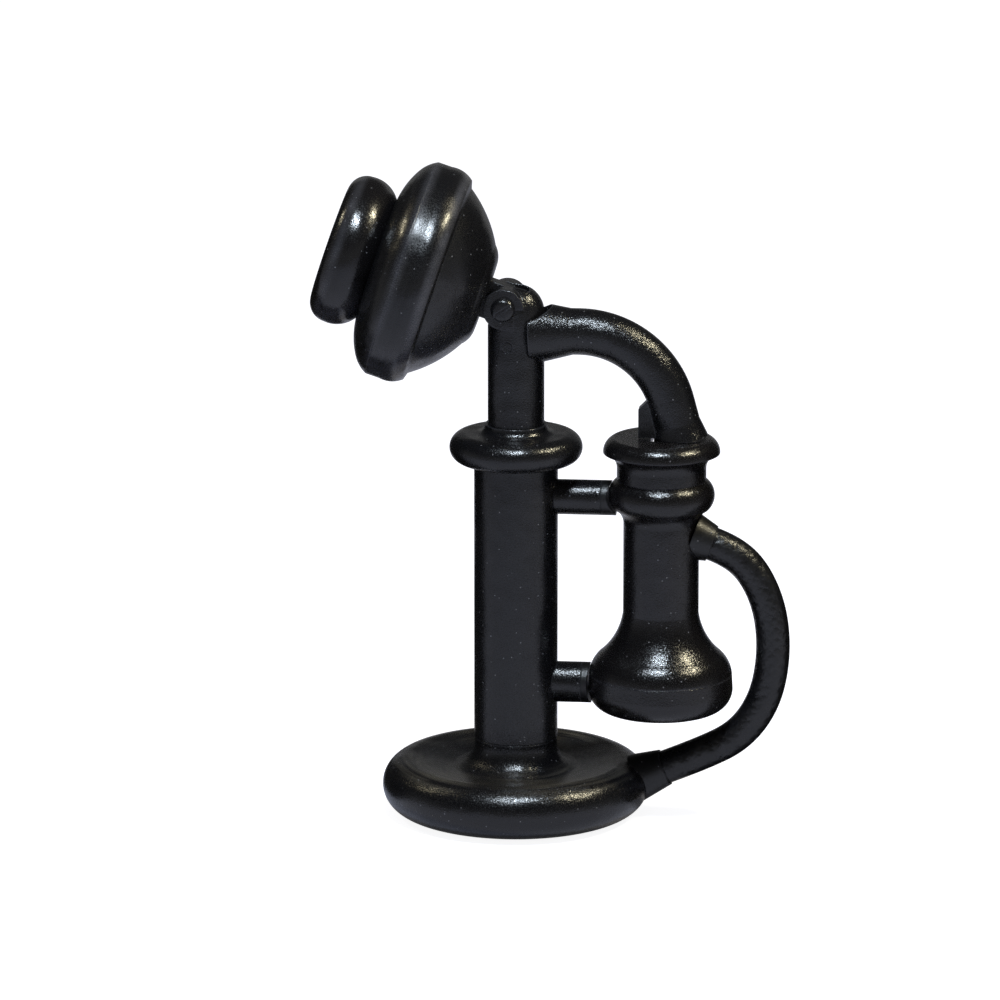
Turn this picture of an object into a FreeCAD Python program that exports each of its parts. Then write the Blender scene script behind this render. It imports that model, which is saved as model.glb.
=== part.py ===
"""Upright desk telephone of the candlestick pattern.

Millimetres. +Z is up, the origin is the middle of the base's underside, the
mouthpiece points to -X and the receiver hangs on the +X side. Every dimension
stands in the sheet called Sizes; the pieces follow it.
"""
import FreeCAD
import Part
import Sketcher
import math
import os

Vector = FreeCAD.Vector
Placement = FreeCAD.Placement
Rotation = FreeCAD.Rotation
ALONG_X = Vector(1, 0, 0)
ALONG_Y = Vector(0, 1, 0)
ALONG_Z = Vector(0, 0, 1)

# Driving dimensions, in millimetres and degrees
SIZES = {
    # clearances
    "seat_fit": 0.03,
    "running_fit": 0.05,
    "free_gap": 0.4,
    # base casting, underside plate and felt
    "base_radius": 59.5,
    "base_roll": 12.0,
    "base_lift": 1.0,
    "base_wall": 3.5,
    "rim_wall": 17.0,
    "dish_depth": 3.4,
    "foot_spread": 9.0,
    "foot_rise": 13.2,
    "foot_sweep": 11.0,
    "plate_ledge": 4.3,
    "plate_thickness": 2.0,
    "plate_recess": 2.5,
    "felt_inset": 1.8,
    "plate_screw_inset": 6.5,
    "plate_screw_radius": 1.7,
    "plate_screw_length": 8.0,
    "plate_screw_head": 3.5,
    "plate_screw_head_height": 1.2,
    "boss_radius": 4.5,
    # line terminals under the base's roof
    "terminal_length": 20.0,
    "terminal_width": 12.0,
    "terminal_pitch": 6.4,
    "terminal_screw_radius": 1.4,
    "terminal_head_radius": 2.7,
    # stem
    "stem_radius": 18.6,
    "stem_wall": 3.0,
    "stem_top": 167.2,
    "stem_floor": 6.0,
    "spigot_radius": 9.0,
    "spigot_proud": 1.5,
    "wire_bore": 4.5,
    "stem_nut_height": 6.0,
    "stem_nut_radius": 15.0,
    # collar bead
    "collar_radius": 29.5,
    "collar_roll": 6.6,
    "collar_skirt": 6.2,
    "collar_lip": 4.0,
    "collar_lip_wall": 1.2,
    # neck post and forked head
    "neck_radius": 12.5,
    "neck_bore": 7.5,
    "neck_foot": 12.0,
    "fork_gap": 8.4,
    # transmitter pivot and its ears
    "tilt_x": -4.7,
    "tilt_rise": 65.0,
    "tilt_angle": 18.5,
    "ear_radius": 9.0,
    "ear_proud": 0.1,
    "lug_radius": 8.5,
    "lug_width": 7.8,
    "tilt_bolt_radius": 3.0,
    "bolt_head_radius": 5.4,
    "bolt_head_height": 3.0,
    # hook pivot and arm
    "hook_x": -3.0,
    "hook_drop": 17.0,
    "hook_travel": 10.0,
    "hook_pin_radius": 2.5,
    "tongue_radius": 5.9,
    "tongue_width": 7.8,
    "slot_floor_gap": 1.2,
    "slot_rise": 3.6,
    "haunch_radius": 14.4,
    "haunch_length": 20.0,
    "haunch_drop": 0.8,
    "arm_radius": 10.3,
    "arm_rise": 5.2,
    "arm_fall": 47.2,
    "arm_bend": 42.0,
    "arm_slant": 15.0,
    "arm_overhang": 8.4,
    "arm_foot_radius": 12.0,
    "arm_foot_flare": 10.0,
    "rib_width": 7.0,
    "rib_height": 22.0,
    "rib_reach": 10.2,
    # hanger button at the arm's end and its slot in the receiver cap
    "button_radius": 7.0,
    "button_height": 4.5,
    "button_neck": 3.5,
    "button_chamfer": 0.9,
    "hanger_lip": 4.0,
    "slot_side_gap": 1.0,
    # plunger and contacts
    "plunger_edge": 0.5,
    "plunger_radius": 2.5,
    "guide_height": 6.0,
    "ring_radius": 7.0,
    "ring_height": 2.0,
    "spring_thickness": 0.6,
    "spring_width": 4.0,
    "spring_spread": 4.6,
    "spring_height": 9.0,
    "spring_drop": 29.0,
    "block_height": 8.0,
    # transmitter drum, each depth measured on from the one before it
    "cup_back": 10.0,
    "cup_back_radius": 11.0,
    "cup_nose": 2.5,
    "cup_cone_radius": 23.0,
    "cone_depth": 18.2,
    "cone_round": 59.0,
    "ridge_inset": 3.4,
    "step_depth": 1.0,
    "step_inset": 2.8,
    "shoulder_depth": 11.3,
    "shoulder_roll": 12.4,
    "drum_radius": 49.2,
    "drum_land": 6.2,
    "cup_wall": 3.0,
    "face_roll": 7.0,
    "face_inset": 6.5,
    "face_round": 16.3,
    "face_slope_round": 36.7,
    "face_depth": 11.8,
    "face_slope_radius": 28.6,
    "mouth_thread_radius": 20.0,
    "mouth_thread_length": 7.0,
    # mouthpiece
    "mouth_radius": 33.6,
    "mouth_roll": 8.6,
    "mouth_depth": 22.0,
    "mouth_pinch_radius": 27.2,
    "mouth_opening": 20.5,
    "mouth_throat": 7.0,
    # transmitter inside
    "diaphragm_thickness": 0.6,
    "gasket_width": 3.5,
    "gasket_thickness": 1.2,
    "carbon_radius": 10.0,
    "carbon_height": 4.2,
    "bridge_end": 2.7,
    "bridge_width": 14.0,
    "bridge_thickness": 3.0,
    "bridge_screw_inset": 7.7,
    "bridge_screw_radius": 1.4,
    "bridge_head_radius": 2.1,
    # receiver
    "receiver_x": 64.6,
    "ear_cap_height": 17.0,
    "shell_length": 88.5,
    "cap_height": 19.0,
    "bell_radius": 32.2,
    "bell_roll": 10.0,
    "ear_hole": 8.0,
    "ear_dish": 3.5,
    "ear_wall": 4.0,
    "ear_rim": 9.6,
    "ear_ledge": 3.0,
    "body_radius": 16.8,
    "body_wall": 3.8,
    "bead_radius": 23.6,
    "bead_height": 13.0,
    "bead_neck": 6.5,
    "flare_length": 28.0,
    "groove_radius": 19.8,
    "flange_radius": 25.9,
    "flange_height": 11.0,
    "cap_spigot": 8.0,
    # receiver inside
    "ear_diaphragm_inset": 4.8,
    "ear_diaphragm_thickness": 0.5,
    "magnet_width": 19.0,
    "magnet_depth": 8.0,
    "magnet_leg": 5.0,
    "pole_length": 11.0,
    "pole_width": 3.0,
    "coil_width": 8.6,
    "coil_depth": 14.0,
    "coil_height": 7.0,
    "post_radius": 1.4,
    # rest pegs between stem and receiver
    "upper_peg_drop": 9.0,
    "upper_peg_radius": 7.8,
    "lower_peg_rise": 11.5,
    "lower_peg_radius": 9.1,
    "peg_stud_radius": 3.0,
    "pad_thickness": 2.5,
    # cord and the two sleeves that it comes out of
    "cord_radius": 7.5,
    "cord_first_run": 9.6,
    "cord_last_run": 18.2,
    "sleeve_wall": 0.7,
    "sleeve_root_radius": 10.8,
    "sleeve_spigot": 4.5,
    "sleeve_spigot_depth": 2.0,
    "sleeve_bite": 5.0,
    "base_sleeve_angle": 22.0,
    "base_sleeve_reach": 21.0,
    "base_sleeve_rise": 0.9,
    "bush_angle": -20.0,
    "bush_drop": 1.2,
    "bush_reach": 24.0,
    "bush_bite": 2.25,
}

# Bends of the receiver cord between its two straight ends, as (x, z) from the bush round to the base
CORD_BENDS = [
    (106.3, 112.4),
    (113.5, 95.4),
    (115.2, 74.8),
    (111.4, 54.0),
    (100.8, 37.9),
]
CORD_ARC_SHARE = 0.45

doc = FreeCAD.newDocument("Telephone")
sheet = doc.addObject("Spreadsheet::Sheet", "Sizes")


class Size:
    """A dimension that carries both its value and its formula in the sheet."""

    def __init__(self, formula, value):
        self.formula = formula
        self.value = value

    def __add__(self, other):
        other = as_size(other)
        return Size("(%s + %s)" % (self.formula, other.formula), self.value + other.value)

    def __sub__(self, other):
        other = as_size(other)
        return Size("(%s - %s)" % (self.formula, other.formula), self.value - other.value)

    def __mul__(self, factor):
        factor = as_size(factor)
        return Size("(%s * %s)" % (self.formula, factor.formula), self.value * factor.value)

    def __truediv__(self, divisor):
        divisor = as_size(divisor)
        return Size("(%s / %s)" % (self.formula, divisor.formula), self.value / divisor.value)

    def __neg__(self):
        return Size("(0 - %s)" % self.formula, -self.value)


def as_size(number):
    """A plain number as a Size, so both can be mixed in a formula."""
    if isinstance(number, Size):
        return number
    return Size("%.9g" % number, float(number))


class Names:
    """The sheet's cells, each reached by its alias."""


size = Names()
for row, (alias, value) in enumerate(SIZES.items(), start=1):
    sheet.set("A%d" % row, alias)
    sheet.set("B%d" % row, str(value))
    sheet.setAlias("B%d" % row, alias)
    setattr(size, alias, Size("Sizes." + alias, value))
doc.recompute()

nodes = []


def node(thing, label):
    """Give a finished piece its name and list it for writing."""
    thing.Label = label
    nodes.append(thing)
    return thing


# Sketches

class Bend:
    """A corner reached by an arc: to the left of the way along the outline, or to the right."""

    def __init__(self, across, up, radius, left=True):
        self.across = as_size(across)
        self.up = as_size(up)
        self.radius = as_size(radius)
        self.left = left


def new_body(label):
    """An empty body that carries the label of its piece."""
    body = doc.addObject("PartDesign::Body", label)
    body.Label = label
    return body


def sketch_on(body, name, plane, lift=None):
    """A sketch on one of the body's own origin planes, lifted along its normal."""
    sketch = body.newObject("Sketcher::SketchObject", name)
    support = [feature for feature in body.Origin.OriginFeatures if feature.Role == plane][0]
    sketch.AttachmentSupport = (support, "")
    sketch.MapMode = "FlatFace"
    if lift is not None:
        sketch.setExpression("AttachmentOffset.Base.z", as_size(lift).formula)
    return sketch


def bind(sketch, constraint, formula):
    """Add a constraint and tie it to the sheet."""
    number = sketch.addConstraint(constraint)
    sketch.setExpression("Constraints[%d]" % number, formula)


def hold_point(sketch, geometry, position, across, up):
    """Hold one point at its distances from the sketch's origin."""
    across = as_size(across)
    up = as_size(up)
    if across.formula == "0":
        sketch.addConstraint(Sketcher.Constraint("PointOnObject", geometry, position, -2))
    else:
        rule = Sketcher.Constraint("DistanceX", -1, 1, geometry, position, across.value)
        bind(sketch, rule, across.formula)
    if up.formula == "0":
        sketch.addConstraint(Sketcher.Constraint("PointOnObject", geometry, position, -1))
    else:
        rule = Sketcher.Constraint("DistanceY", -1, 1, geometry, position, up.value)
        bind(sketch, rule, up.formula)


def arc_between(start, end, radius, left):
    """The short arc from start to end that bends to the left or to the right."""
    chord = end - start
    reach = chord.Length / 2
    height = math.sqrt(max(radius * radius - reach * reach, 0.0))
    side = Vector(-chord.y, chord.x, 0).normalize()
    centre = (start + end) * 0.5 + side * (height if left else -height)
    first, last = (start, end) if left else (end, start)
    begin = math.atan2(first.y - centre.y, first.x - centre.x)
    finish = math.atan2(last.y - centre.y, last.x - centre.x)
    if finish < begin:
        finish += 2 * math.pi
    return Part.ArcOfCircle(Part.Circle(centre, ALONG_Z, radius), begin, finish)


def outline(sketch, corners):
    """A closed outline of straight sides and bends, every corner tied to the sheet."""
    corners = [c if isinstance(c, Bend) else (as_size(c[0]), as_size(c[1])) for c in corners]
    places = []
    for corner in corners:
        if isinstance(corner, Bend):
            places.append((corner.across, corner.up))
        else:
            places.append(corner)
    points = [Vector(across.value, up.value, 0) for across, up in places]
    ends = []
    for index in range(len(corners)):
        start = points[index - 1]
        end = points[index]
        corner = corners[index]
        if isinstance(corner, Bend):
            arc = arc_between(start, end, corner.radius.value, corner.left)
            geometry = sketch.addGeometry(arc, False)
            ends.append((geometry, 1, 2) if corner.left else (geometry, 2, 1))
        else:
            geometry = sketch.addGeometry(Part.LineSegment(start, end), False)
            ends.append((geometry, 1, 2))
    for index, (geometry, begin, finish) in enumerate(ends):
        following = ends[(index + 1) % len(ends)]
        rule = Sketcher.Constraint("Coincident", geometry, finish, following[0], following[1])
        sketch.addConstraint(rule)
    for index, (geometry, begin, finish) in enumerate(ends):
        hold_point(sketch, geometry, finish, places[index][0], places[index][1])
        corner = corners[index]
        if isinstance(corner, Bend):
            rule = Sketcher.Constraint("Radius", geometry, corner.radius.value)
            bind(sketch, rule, corner.radius.formula)


def circle(sketch, across, up, radius):
    """A circle held at its centre and radius by the sheet."""
    across = as_size(across)
    up = as_size(up)
    radius = as_size(radius)
    centre = Vector(across.value, up.value, 0)
    geometry = sketch.addGeometry(Part.Circle(centre, ALONG_Z, radius.value), False)
    hold_point(sketch, geometry, 3, across, up)
    bind(sketch, Sketcher.Constraint("Radius", geometry, radius.value), radius.formula)


# Features

def turned(body, name, corners):
    """A full turn of an outline about the body's own Z axis."""
    sketch = sketch_on(body, name + "_profile", "XZ_Plane")
    outline(sketch, corners)
    feature = body.newObject("PartDesign::Revolution", name)
    feature.Profile = sketch
    feature.ReferenceAxis = (sketch, ["V_Axis"])
    feature.Angle = 360
    return feature


def padded(body, sketch, name, length, symmetric=False, backwards=False):
    """A sketch drawn out into a solid."""
    feature = body.newObject("PartDesign::Pad", name)
    feature.Profile = sketch
    feature.SideType = "Symmetric" if symmetric else "One side"
    feature.Reversed = backwards
    feature.setExpression("Length", as_size(length).formula)
    return feature


def pocketed(body, sketch, name, length, symmetric=False, backwards=False):
    """A sketch cut into the body; stops the build if it removes nothing."""
    doc.recompute()
    before = body.Shape.Volume
    feature = body.newObject("PartDesign::Pocket", name)
    feature.Profile = sketch
    feature.SideType = "Symmetric" if symmetric else "One side"
    feature.Reversed = backwards
    feature.setExpression("Length", as_size(length).formula)
    doc.recompute()
    if body.Shape.Volume > before - 0.01:
        raise ValueError("%s cuts nothing" % name)
    return feature


def cylinder(name, radius, height, base, axis):
    """A round bar from a base point along an axis."""
    bar = doc.addObject("Part::Cylinder", name)
    bar.setExpression("Radius", as_size(radius).formula)
    bar.setExpression("Height", as_size(height).formula)
    bar.Placement = Placement(base, Rotation(ALONG_Z, axis))
    return bar


def cut(label, base, tools):
    """The base piece with the tools taken out of it."""
    result = base
    for index, tool in enumerate(tools):
        step = doc.addObject("Part::Cut", "%s_cut_%d" % (label, index + 1))
        step.Base = result
        step.Tool = tool
        result = step
    return result


def fuse(label, pieces):
    """Several solids that are one piece."""
    joined = doc.addObject("Part::MultiFuse", label + "_joined")
    joined.Shapes = pieces
    joined.Refine = True
    return joined


def compound(label, pieces):
    """Several separate solids under one name."""
    group = doc.addObject("Part::Compound", label)
    group.Links = pieces
    return node(group, label)


def screw(name, shank_radius, shank_length, head_radius, head_height, under_head, axis):
    """A slotless round-headed screw whose axis points from under the head to the tip."""
    back = Vector(axis) * -head_height.value
    head = cylinder(name + "_head", head_radius, head_height, under_head + back, axis)
    shank = cylinder(name + "_shank", shank_radius, shank_length, under_head, axis)
    return fuse(name, [head, shank])


# Levels and places that several pieces share

rim_centre_radius = size.base_radius - size.base_roll
rim_centre_z = size.base_lift + size.base_roll
rim_top = size.base_lift + size.base_roll * 2
dish_z = rim_top - size.dish_depth
foot_top = dish_z + size.foot_rise
roof_z = dish_z - size.base_wall
cavity_radius = size.base_radius - size.rim_wall
plate_radius = cavity_radius + size.plate_ledge
plate_top = size.base_lift + size.plate_recess
plate_bottom = plate_top - size.plate_thickness
plate_screw_ring = cavity_radius - size.plate_screw_inset
stem_bore = size.stem_radius - size.stem_wall
stem_floor_top = foot_top + size.stem_floor
spigot_end = roof_z - size.stem_nut_height - size.spigot_proud
neck_foot_z = size.stem_top - size.neck_foot
collar_centre_z = size.stem_top - size.collar_skirt + size.collar_roll
collar_top = collar_centre_z + size.collar_roll
tilt_z = size.stem_top + size.tilt_rise
head_top = tilt_z + size.ear_radius
ear_span = (size.neck_radius + size.ear_proud) * 2
hook_z = tilt_z - size.hook_drop
arm_slot_floor = hook_z - size.tongue_radius - size.slot_floor_gap
arm_slot_roof = hook_z + size.tongue_radius + size.slot_rise
arm_z = hook_z + size.arm_rise
arm_reach = size.receiver_x + size.arm_overhang
cap_top = arm_z - size.arm_fall
cap_seat = cap_top - size.cap_height
shell_bottom = cap_seat - size.shell_length
receiver_bottom = shell_bottom - size.ear_cap_height
arm_end_z = cap_top + size.free_gap
button_top = cap_top - size.hanger_lip - size.free_gap
button_bottom = button_top - size.button_height
body_bore = size.body_radius - size.body_wall
upper_peg_z = cap_seat - size.upper_peg_drop
lower_peg_z = receiver_bottom + size.lower_peg_rise
plunger_x = size.neck_bore - size.plunger_radius - size.plunger_edge
spring_level = size.stem_top - size.spring_drop
third_turn = [(1.0, 0.0), (-0.5, 0.8660254038), (-0.5, -0.8660254038)]
turned_third = [(-across, up) for across, up in third_turn]

tilt_pivot = Vector(size.tilt_x.value, 0, tilt_z.value)
hook_pivot = Vector(size.hook_x.value, 0, hook_z.value)
drum_place = Placement(tilt_pivot, Rotation(ALONG_Y, size.tilt_angle.value - 90))
receiver_place = Placement(Vector(size.receiver_x.value, 0, 0), Rotation())


# Base

casting = new_body("base_casting")
turned(casting, "base_turning", [
    (rim_centre_radius, size.base_lift),
    Bend(size.base_radius, rim_centre_z, size.base_roll),
    Bend(rim_centre_radius, rim_top, size.base_roll),
    (size.stem_radius + size.foot_spread, dish_z),
    Bend(size.stem_radius, foot_top, size.foot_sweep, left=False),
    (size.spigot_radius + size.seat_fit, foot_top),
    (size.spigot_radius + size.seat_fit, roof_z),
    (cavity_radius, roof_z),
    (cavity_radius, plate_top),
    (plate_radius + size.seat_fit, plate_top),
    (plate_radius + size.seat_fit, size.base_lift),
])
boss_sketch = sketch_on(casting, "boss_profile", "XY_Plane", plate_top)
for across, up in turned_third:
    circle(boss_sketch, plate_screw_ring * across, plate_screw_ring * up, size.boss_radius)
    circle(boss_sketch, plate_screw_ring * across, plate_screw_ring * up,
           size.plate_screw_radius + size.seat_fit)
padded(casting, boss_sketch, "bosses", roof_z - plate_top)

sleeve_lean = math.radians(size.base_sleeve_angle.value)
sleeve_way = Vector(math.cos(sleeve_lean), 0, math.sin(sleeve_lean))
sleeve_centre = Vector(rim_centre_radius.value, 0, (rim_centre_z + size.base_sleeve_rise).value)
cord_hole = cylinder("cord_hole", size.sleeve_spigot + size.seat_fit, size.base_roll * 3,
                     sleeve_centre - sleeve_way * (size.base_roll.value * 1.5), sleeve_way)
node(cut("base_shell", casting, [cord_hole]), "base_shell")

plate = new_body("base_plate")
plate_sketch = sketch_on(plate, "plate_profile", "XY_Plane", plate_bottom)
circle(plate_sketch, 0, 0, plate_radius)
for across, up in turned_third:
    circle(plate_sketch, plate_screw_ring * across, plate_screw_ring * up,
           size.plate_screw_radius + size.running_fit)
padded(plate, plate_sketch, "plate_pad", size.plate_thickness)
node(plate, "base_plate")

felt = new_body("base_felt")
felt_sketch = sketch_on(felt, "felt_profile", "XY_Plane")
circle(felt_sketch, 0, 0, plate_radius - size.felt_inset)
for across, up in turned_third:
    circle(felt_sketch, plate_screw_ring * across, plate_screw_ring * up,
           size.plate_screw_head + size.free_gap)
padded(felt, felt_sketch, "felt_pad", plate_bottom)
node(felt, "base_felt")

plate_screws = []
for index, (across, up) in enumerate(turned_third):
    under_head = Vector(plate_screw_ring.value * across, plate_screw_ring.value * up,
                        plate_bottom.value)
    plate_screws.append(screw("plate_screw_%d" % index, size.plate_screw_radius,
                              size.plate_screw_length, size.plate_screw_head,
                              size.plate_screw_head_height, under_head, ALONG_Z))
compound("base_plate_screws", plate_screws)

nut = new_body("stem_nut")
nut_sketch = sketch_on(nut, "nut_profile", "XY_Plane", roof_z - size.stem_nut_height)
sixths = [(1.0, 0.0), (0.5, 0.8660254038), (-0.5, 0.8660254038),
          (-1.0, 0.0), (-0.5, -0.8660254038), (0.5, -0.8660254038)]
outline(nut_sketch, [(size.stem_nut_radius * across, size.stem_nut_radius * up)
                     for across, up in sixths])
circle(nut_sketch, 0, 0, size.spigot_radius + size.seat_fit)
padded(nut, nut_sketch, "nut_pad", size.stem_nut_height)
node(nut, "stem_nut")

# Line terminals under the base's roof

terminal_y = (cavity_radius + size.stem_nut_radius) / 2
terminal_bottom = plate_top + size.plate_screw_head_height + size.free_gap * 2
terminal_places = [-size.terminal_pitch, as_size(0), size.terminal_pitch]
block_body = new_body("terminal_block")
block_sketch = sketch_on(block_body, "terminal_profile", "XY_Plane", terminal_bottom)
outline(block_sketch, [
    (-size.terminal_length / 2, terminal_y - size.terminal_width / 2),
    (size.terminal_length / 2, terminal_y - size.terminal_width / 2),
    (size.terminal_length / 2, terminal_y + size.terminal_width / 2),
    (-size.terminal_length / 2, terminal_y + size.terminal_width / 2),
])
for place in terminal_places:
    circle(block_sketch, place, terminal_y, size.terminal_screw_radius + size.seat_fit)
padded(block_body, block_sketch, "terminal_pad", roof_z - terminal_bottom)
node(block_body, "terminal_block")

terminals = []
for index, place in enumerate(terminal_places):
    under_head = Vector(place.value, terminal_y.value, terminal_bottom.value)
    terminals.append(screw("terminal_screw_%d" % index, size.terminal_screw_radius,
                           roof_z - terminal_bottom - size.free_gap, size.terminal_head_radius,
                           size.plate_screw_head_height, under_head, ALONG_Z))
compound("terminal_screws", terminals)


# Stem, collar and neck

stem = new_body("stem_tube")
turned(stem, "stem_turning", [
    (size.wire_bore, spigot_end),
    (size.spigot_radius, spigot_end),
    (size.spigot_radius, foot_top),
    (size.stem_radius, foot_top),
    (size.stem_radius, size.stem_top),
    (stem_bore, size.stem_top),
    (stem_bore, stem_floor_top),
    (size.wire_bore, stem_floor_top),
])
stud_sketch = sketch_on(stem, "stud_holes", "YZ_Plane")
circle(stud_sketch, 0, upper_peg_z, size.peg_stud_radius + size.seat_fit)
circle(stud_sketch, 0, lower_peg_z, size.peg_stud_radius + size.seat_fit)
pocketed(stem, stud_sketch, "stud_drilling", size.stem_radius + size.stem_wall, backwards=True)
node(stem, "stem_tube")

collar = new_body("stem_collar")
turned(collar, "collar_turning", [
    (size.stem_radius + size.seat_fit, size.stem_top - size.collar_skirt),
    (size.collar_radius - size.collar_roll, size.stem_top - size.collar_skirt),
    Bend(size.collar_radius, collar_centre_z, size.collar_roll),
    Bend(size.collar_radius - size.collar_roll, collar_top, size.collar_roll),
    (size.neck_radius + size.collar_lip_wall + size.collar_lip, collar_top),
    Bend(size.neck_radius + size.collar_lip_wall, collar_top + size.collar_lip, size.collar_lip,
         left=False),
    (size.neck_radius + size.seat_fit, collar_top + size.collar_lip),
    (size.neck_radius + size.seat_fit, size.stem_top),
    (size.stem_radius + size.seat_fit, size.stem_top),
])
node(collar, "stem_collar")

neck = new_body("neck_post")
turned(neck, "neck_turning", [
    (size.neck_bore, neck_foot_z),
    (stem_bore - size.seat_fit, neck_foot_z),
    (stem_bore - size.seat_fit, size.stem_top),
    (size.neck_radius, size.stem_top),
    (size.neck_radius, head_top - size.neck_radius),
    Bend(0, head_top, size.neck_radius),
    (0, arm_slot_floor + size.free_gap),
    (size.neck_bore, arm_slot_floor + size.free_gap),
])
ear_sketch = sketch_on(neck, "ear_profile", "XZ_Plane")
outline(ear_sketch, [
    (0, tilt_z - size.ear_radius),
    (0, tilt_z),
    (size.tilt_x + size.ear_radius, tilt_z),
    Bend(size.tilt_x, tilt_z + size.ear_radius, size.ear_radius),
    Bend(size.tilt_x - size.ear_radius, tilt_z, size.ear_radius),
    Bend(size.tilt_x, tilt_z - size.ear_radius, size.ear_radius),
])
padded(neck, ear_sketch, "ears", ear_span, symmetric=True)
fork_sketch = sketch_on(neck, "fork_profile", "XZ_Plane")
fork_floor = tilt_z - size.ear_radius - size.free_gap
outline(fork_sketch, [
    (size.tilt_x - size.ear_radius * 2, fork_floor),
    (size.hook_x + size.ear_radius, fork_floor),
    (size.hook_x + size.ear_radius, head_top + size.ear_radius),
    (size.tilt_x - size.ear_radius * 2, head_top + size.ear_radius),
])
pocketed(neck, fork_sketch, "fork", size.fork_gap, symmetric=True)
slot_sketch = sketch_on(neck, "arm_slot_profile", "XZ_Plane")
outline(slot_sketch, [
    (size.hook_x - size.tongue_radius - size.free_gap, arm_slot_floor),
    (size.neck_radius * 2, arm_slot_floor),
    (size.neck_radius * 2, arm_slot_roof),
    (size.hook_x - size.tongue_radius - size.free_gap, arm_slot_roof),
])
pocketed(neck, slot_sketch, "arm_slot", size.fork_gap, symmetric=True)
pin_sketch = sketch_on(neck, "pin_holes", "XZ_Plane")
circle(pin_sketch, size.hook_x, hook_z, size.hook_pin_radius)
circle(pin_sketch, size.tilt_x, tilt_z, size.tilt_bolt_radius)
pocketed(neck, pin_sketch, "pin_drilling", size.neck_radius * 3, symmetric=True)
node(neck, "neck_post")

hook_pin_length = size.neck_radius * 1.9
node(cylinder("hook_pivot_pin", size.hook_pin_radius, hook_pin_length,
              hook_pivot - ALONG_Y * (hook_pin_length.value / 2), ALONG_Y), "hook_pivot_pin")

half_ears = ALONG_Y * (ear_span.value / 2)
node(screw("transmitter_bolt", size.tilt_bolt_radius, ear_span + size.bolt_head_height,
           size.bolt_head_radius, size.bolt_head_height, tilt_pivot - half_ears, ALONG_Y),
     "transmitter_bolt")

bolt_nut = new_body("transmitter_nut")
bolt_nut_sketch = sketch_on(bolt_nut, "bolt_nut_profile", "XY_Plane")
outline(bolt_nut_sketch, [(size.bolt_head_radius * across, size.bolt_head_radius * up)
                          for across, up in sixths])
circle(bolt_nut_sketch, 0, 0, size.tilt_bolt_radius)
padded(bolt_nut, bolt_nut_sketch, "bolt_nut_pad", size.bolt_head_height)
bolt_nut.Placement = Placement(tilt_pivot + half_ears, Rotation(ALONG_Z, ALONG_Y))
node(bolt_nut, "transmitter_nut")


# Plunger and contacts inside neck and stem

plunger_top = hook_z - size.tongue_radius - size.free_gap
ring_bottom = spring_level + size.free_gap
plunger = new_body("plunger_rod")
turned(plunger, "plunger_turning", [
    (0, ring_bottom),
    (size.plunger_radius, ring_bottom),
    (size.plunger_radius, plunger_top - size.plunger_radius),
    Bend(0, plunger_top, size.plunger_radius),
])
plunger.Placement = Placement(Vector(plunger_x.value, 0, 0), Rotation())
node(plunger, "plunger_rod")

ring = new_body("contact_ring")
ring_sketch = sketch_on(ring, "ring_profile", "XY_Plane", ring_bottom)
circle(ring_sketch, plunger_x, 0, size.ring_radius)
circle(ring_sketch, plunger_x, 0, size.plunger_radius)
padded(ring, ring_sketch, "ring_pad", size.ring_height)
node(ring, "contact_ring")

guide = new_body("plunger_guide")
guide_sketch = sketch_on(guide, "guide_profile", "XY_Plane", neck_foot_z)
circle(guide_sketch, 0, 0, size.neck_bore - size.seat_fit)
circle(guide_sketch, plunger_x, 0, size.plunger_radius + size.running_fit)
padded(guide, guide_sketch, "guide_pad", size.guide_height)
node(guide, "plunger_guide")

block_top = spring_level - size.spring_height
spring_block = new_body("spring_block")
spring_block_sketch = sketch_on(spring_block, "spring_block_profile", "XY_Plane",
                                block_top - size.block_height)
circle(spring_block_sketch, 0, 0, stem_bore - size.seat_fit)
circle(spring_block_sketch, plunger_x, 0, size.wire_bore)
padded(spring_block, spring_block_sketch, "spring_block_pad", size.block_height)
node(spring_block, "spring_block")

spring_root = plunger_x - size.ring_radius * 2
leaf_sheets = []
for name, side in (("near_leaf", -1), ("far_leaf", 1)):
    leaf = new_body(name)
    leaf_sketch = sketch_on(leaf, name + "_profile", "XZ_Plane",
                            size.spring_spread * side - size.spring_width / 2)
    outline(leaf_sketch, [
        (spring_root, block_top),
        (spring_root + size.ring_radius, block_top),
        (spring_root + size.ring_radius, spring_level - size.spring_thickness),
        (plunger_x + size.ring_radius, spring_level - size.spring_thickness),
        (plunger_x + size.ring_radius, spring_level),
        (spring_root + size.ring_radius - size.spring_thickness, spring_level),
        (spring_root + size.ring_radius - size.spring_thickness, block_top + size.spring_thickness),
        (spring_root, block_top + size.spring_thickness),
    ])
    padded(leaf, leaf_sketch, name + "_pad", size.spring_width)
    leaf_sheets.append(leaf)
compound("contact_springs", leaf_sheets)

leaf_screws = []
for index, side in enumerate((-1, 1)):
    under_head = Vector((spring_root + size.ring_radius / 2).value, size.spring_spread.value * side,
                        (block_top + size.spring_thickness).value)
    head = cylinder("leaf_screw_%d" % index, size.bridge_screw_radius, size.plunger_radius, under_head,
                    ALONG_Z)
    leaf_screws.append(head)
compound("spring_screws", leaf_screws)


# Transmitter, drawn along its own axis from the tilt pivot

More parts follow.
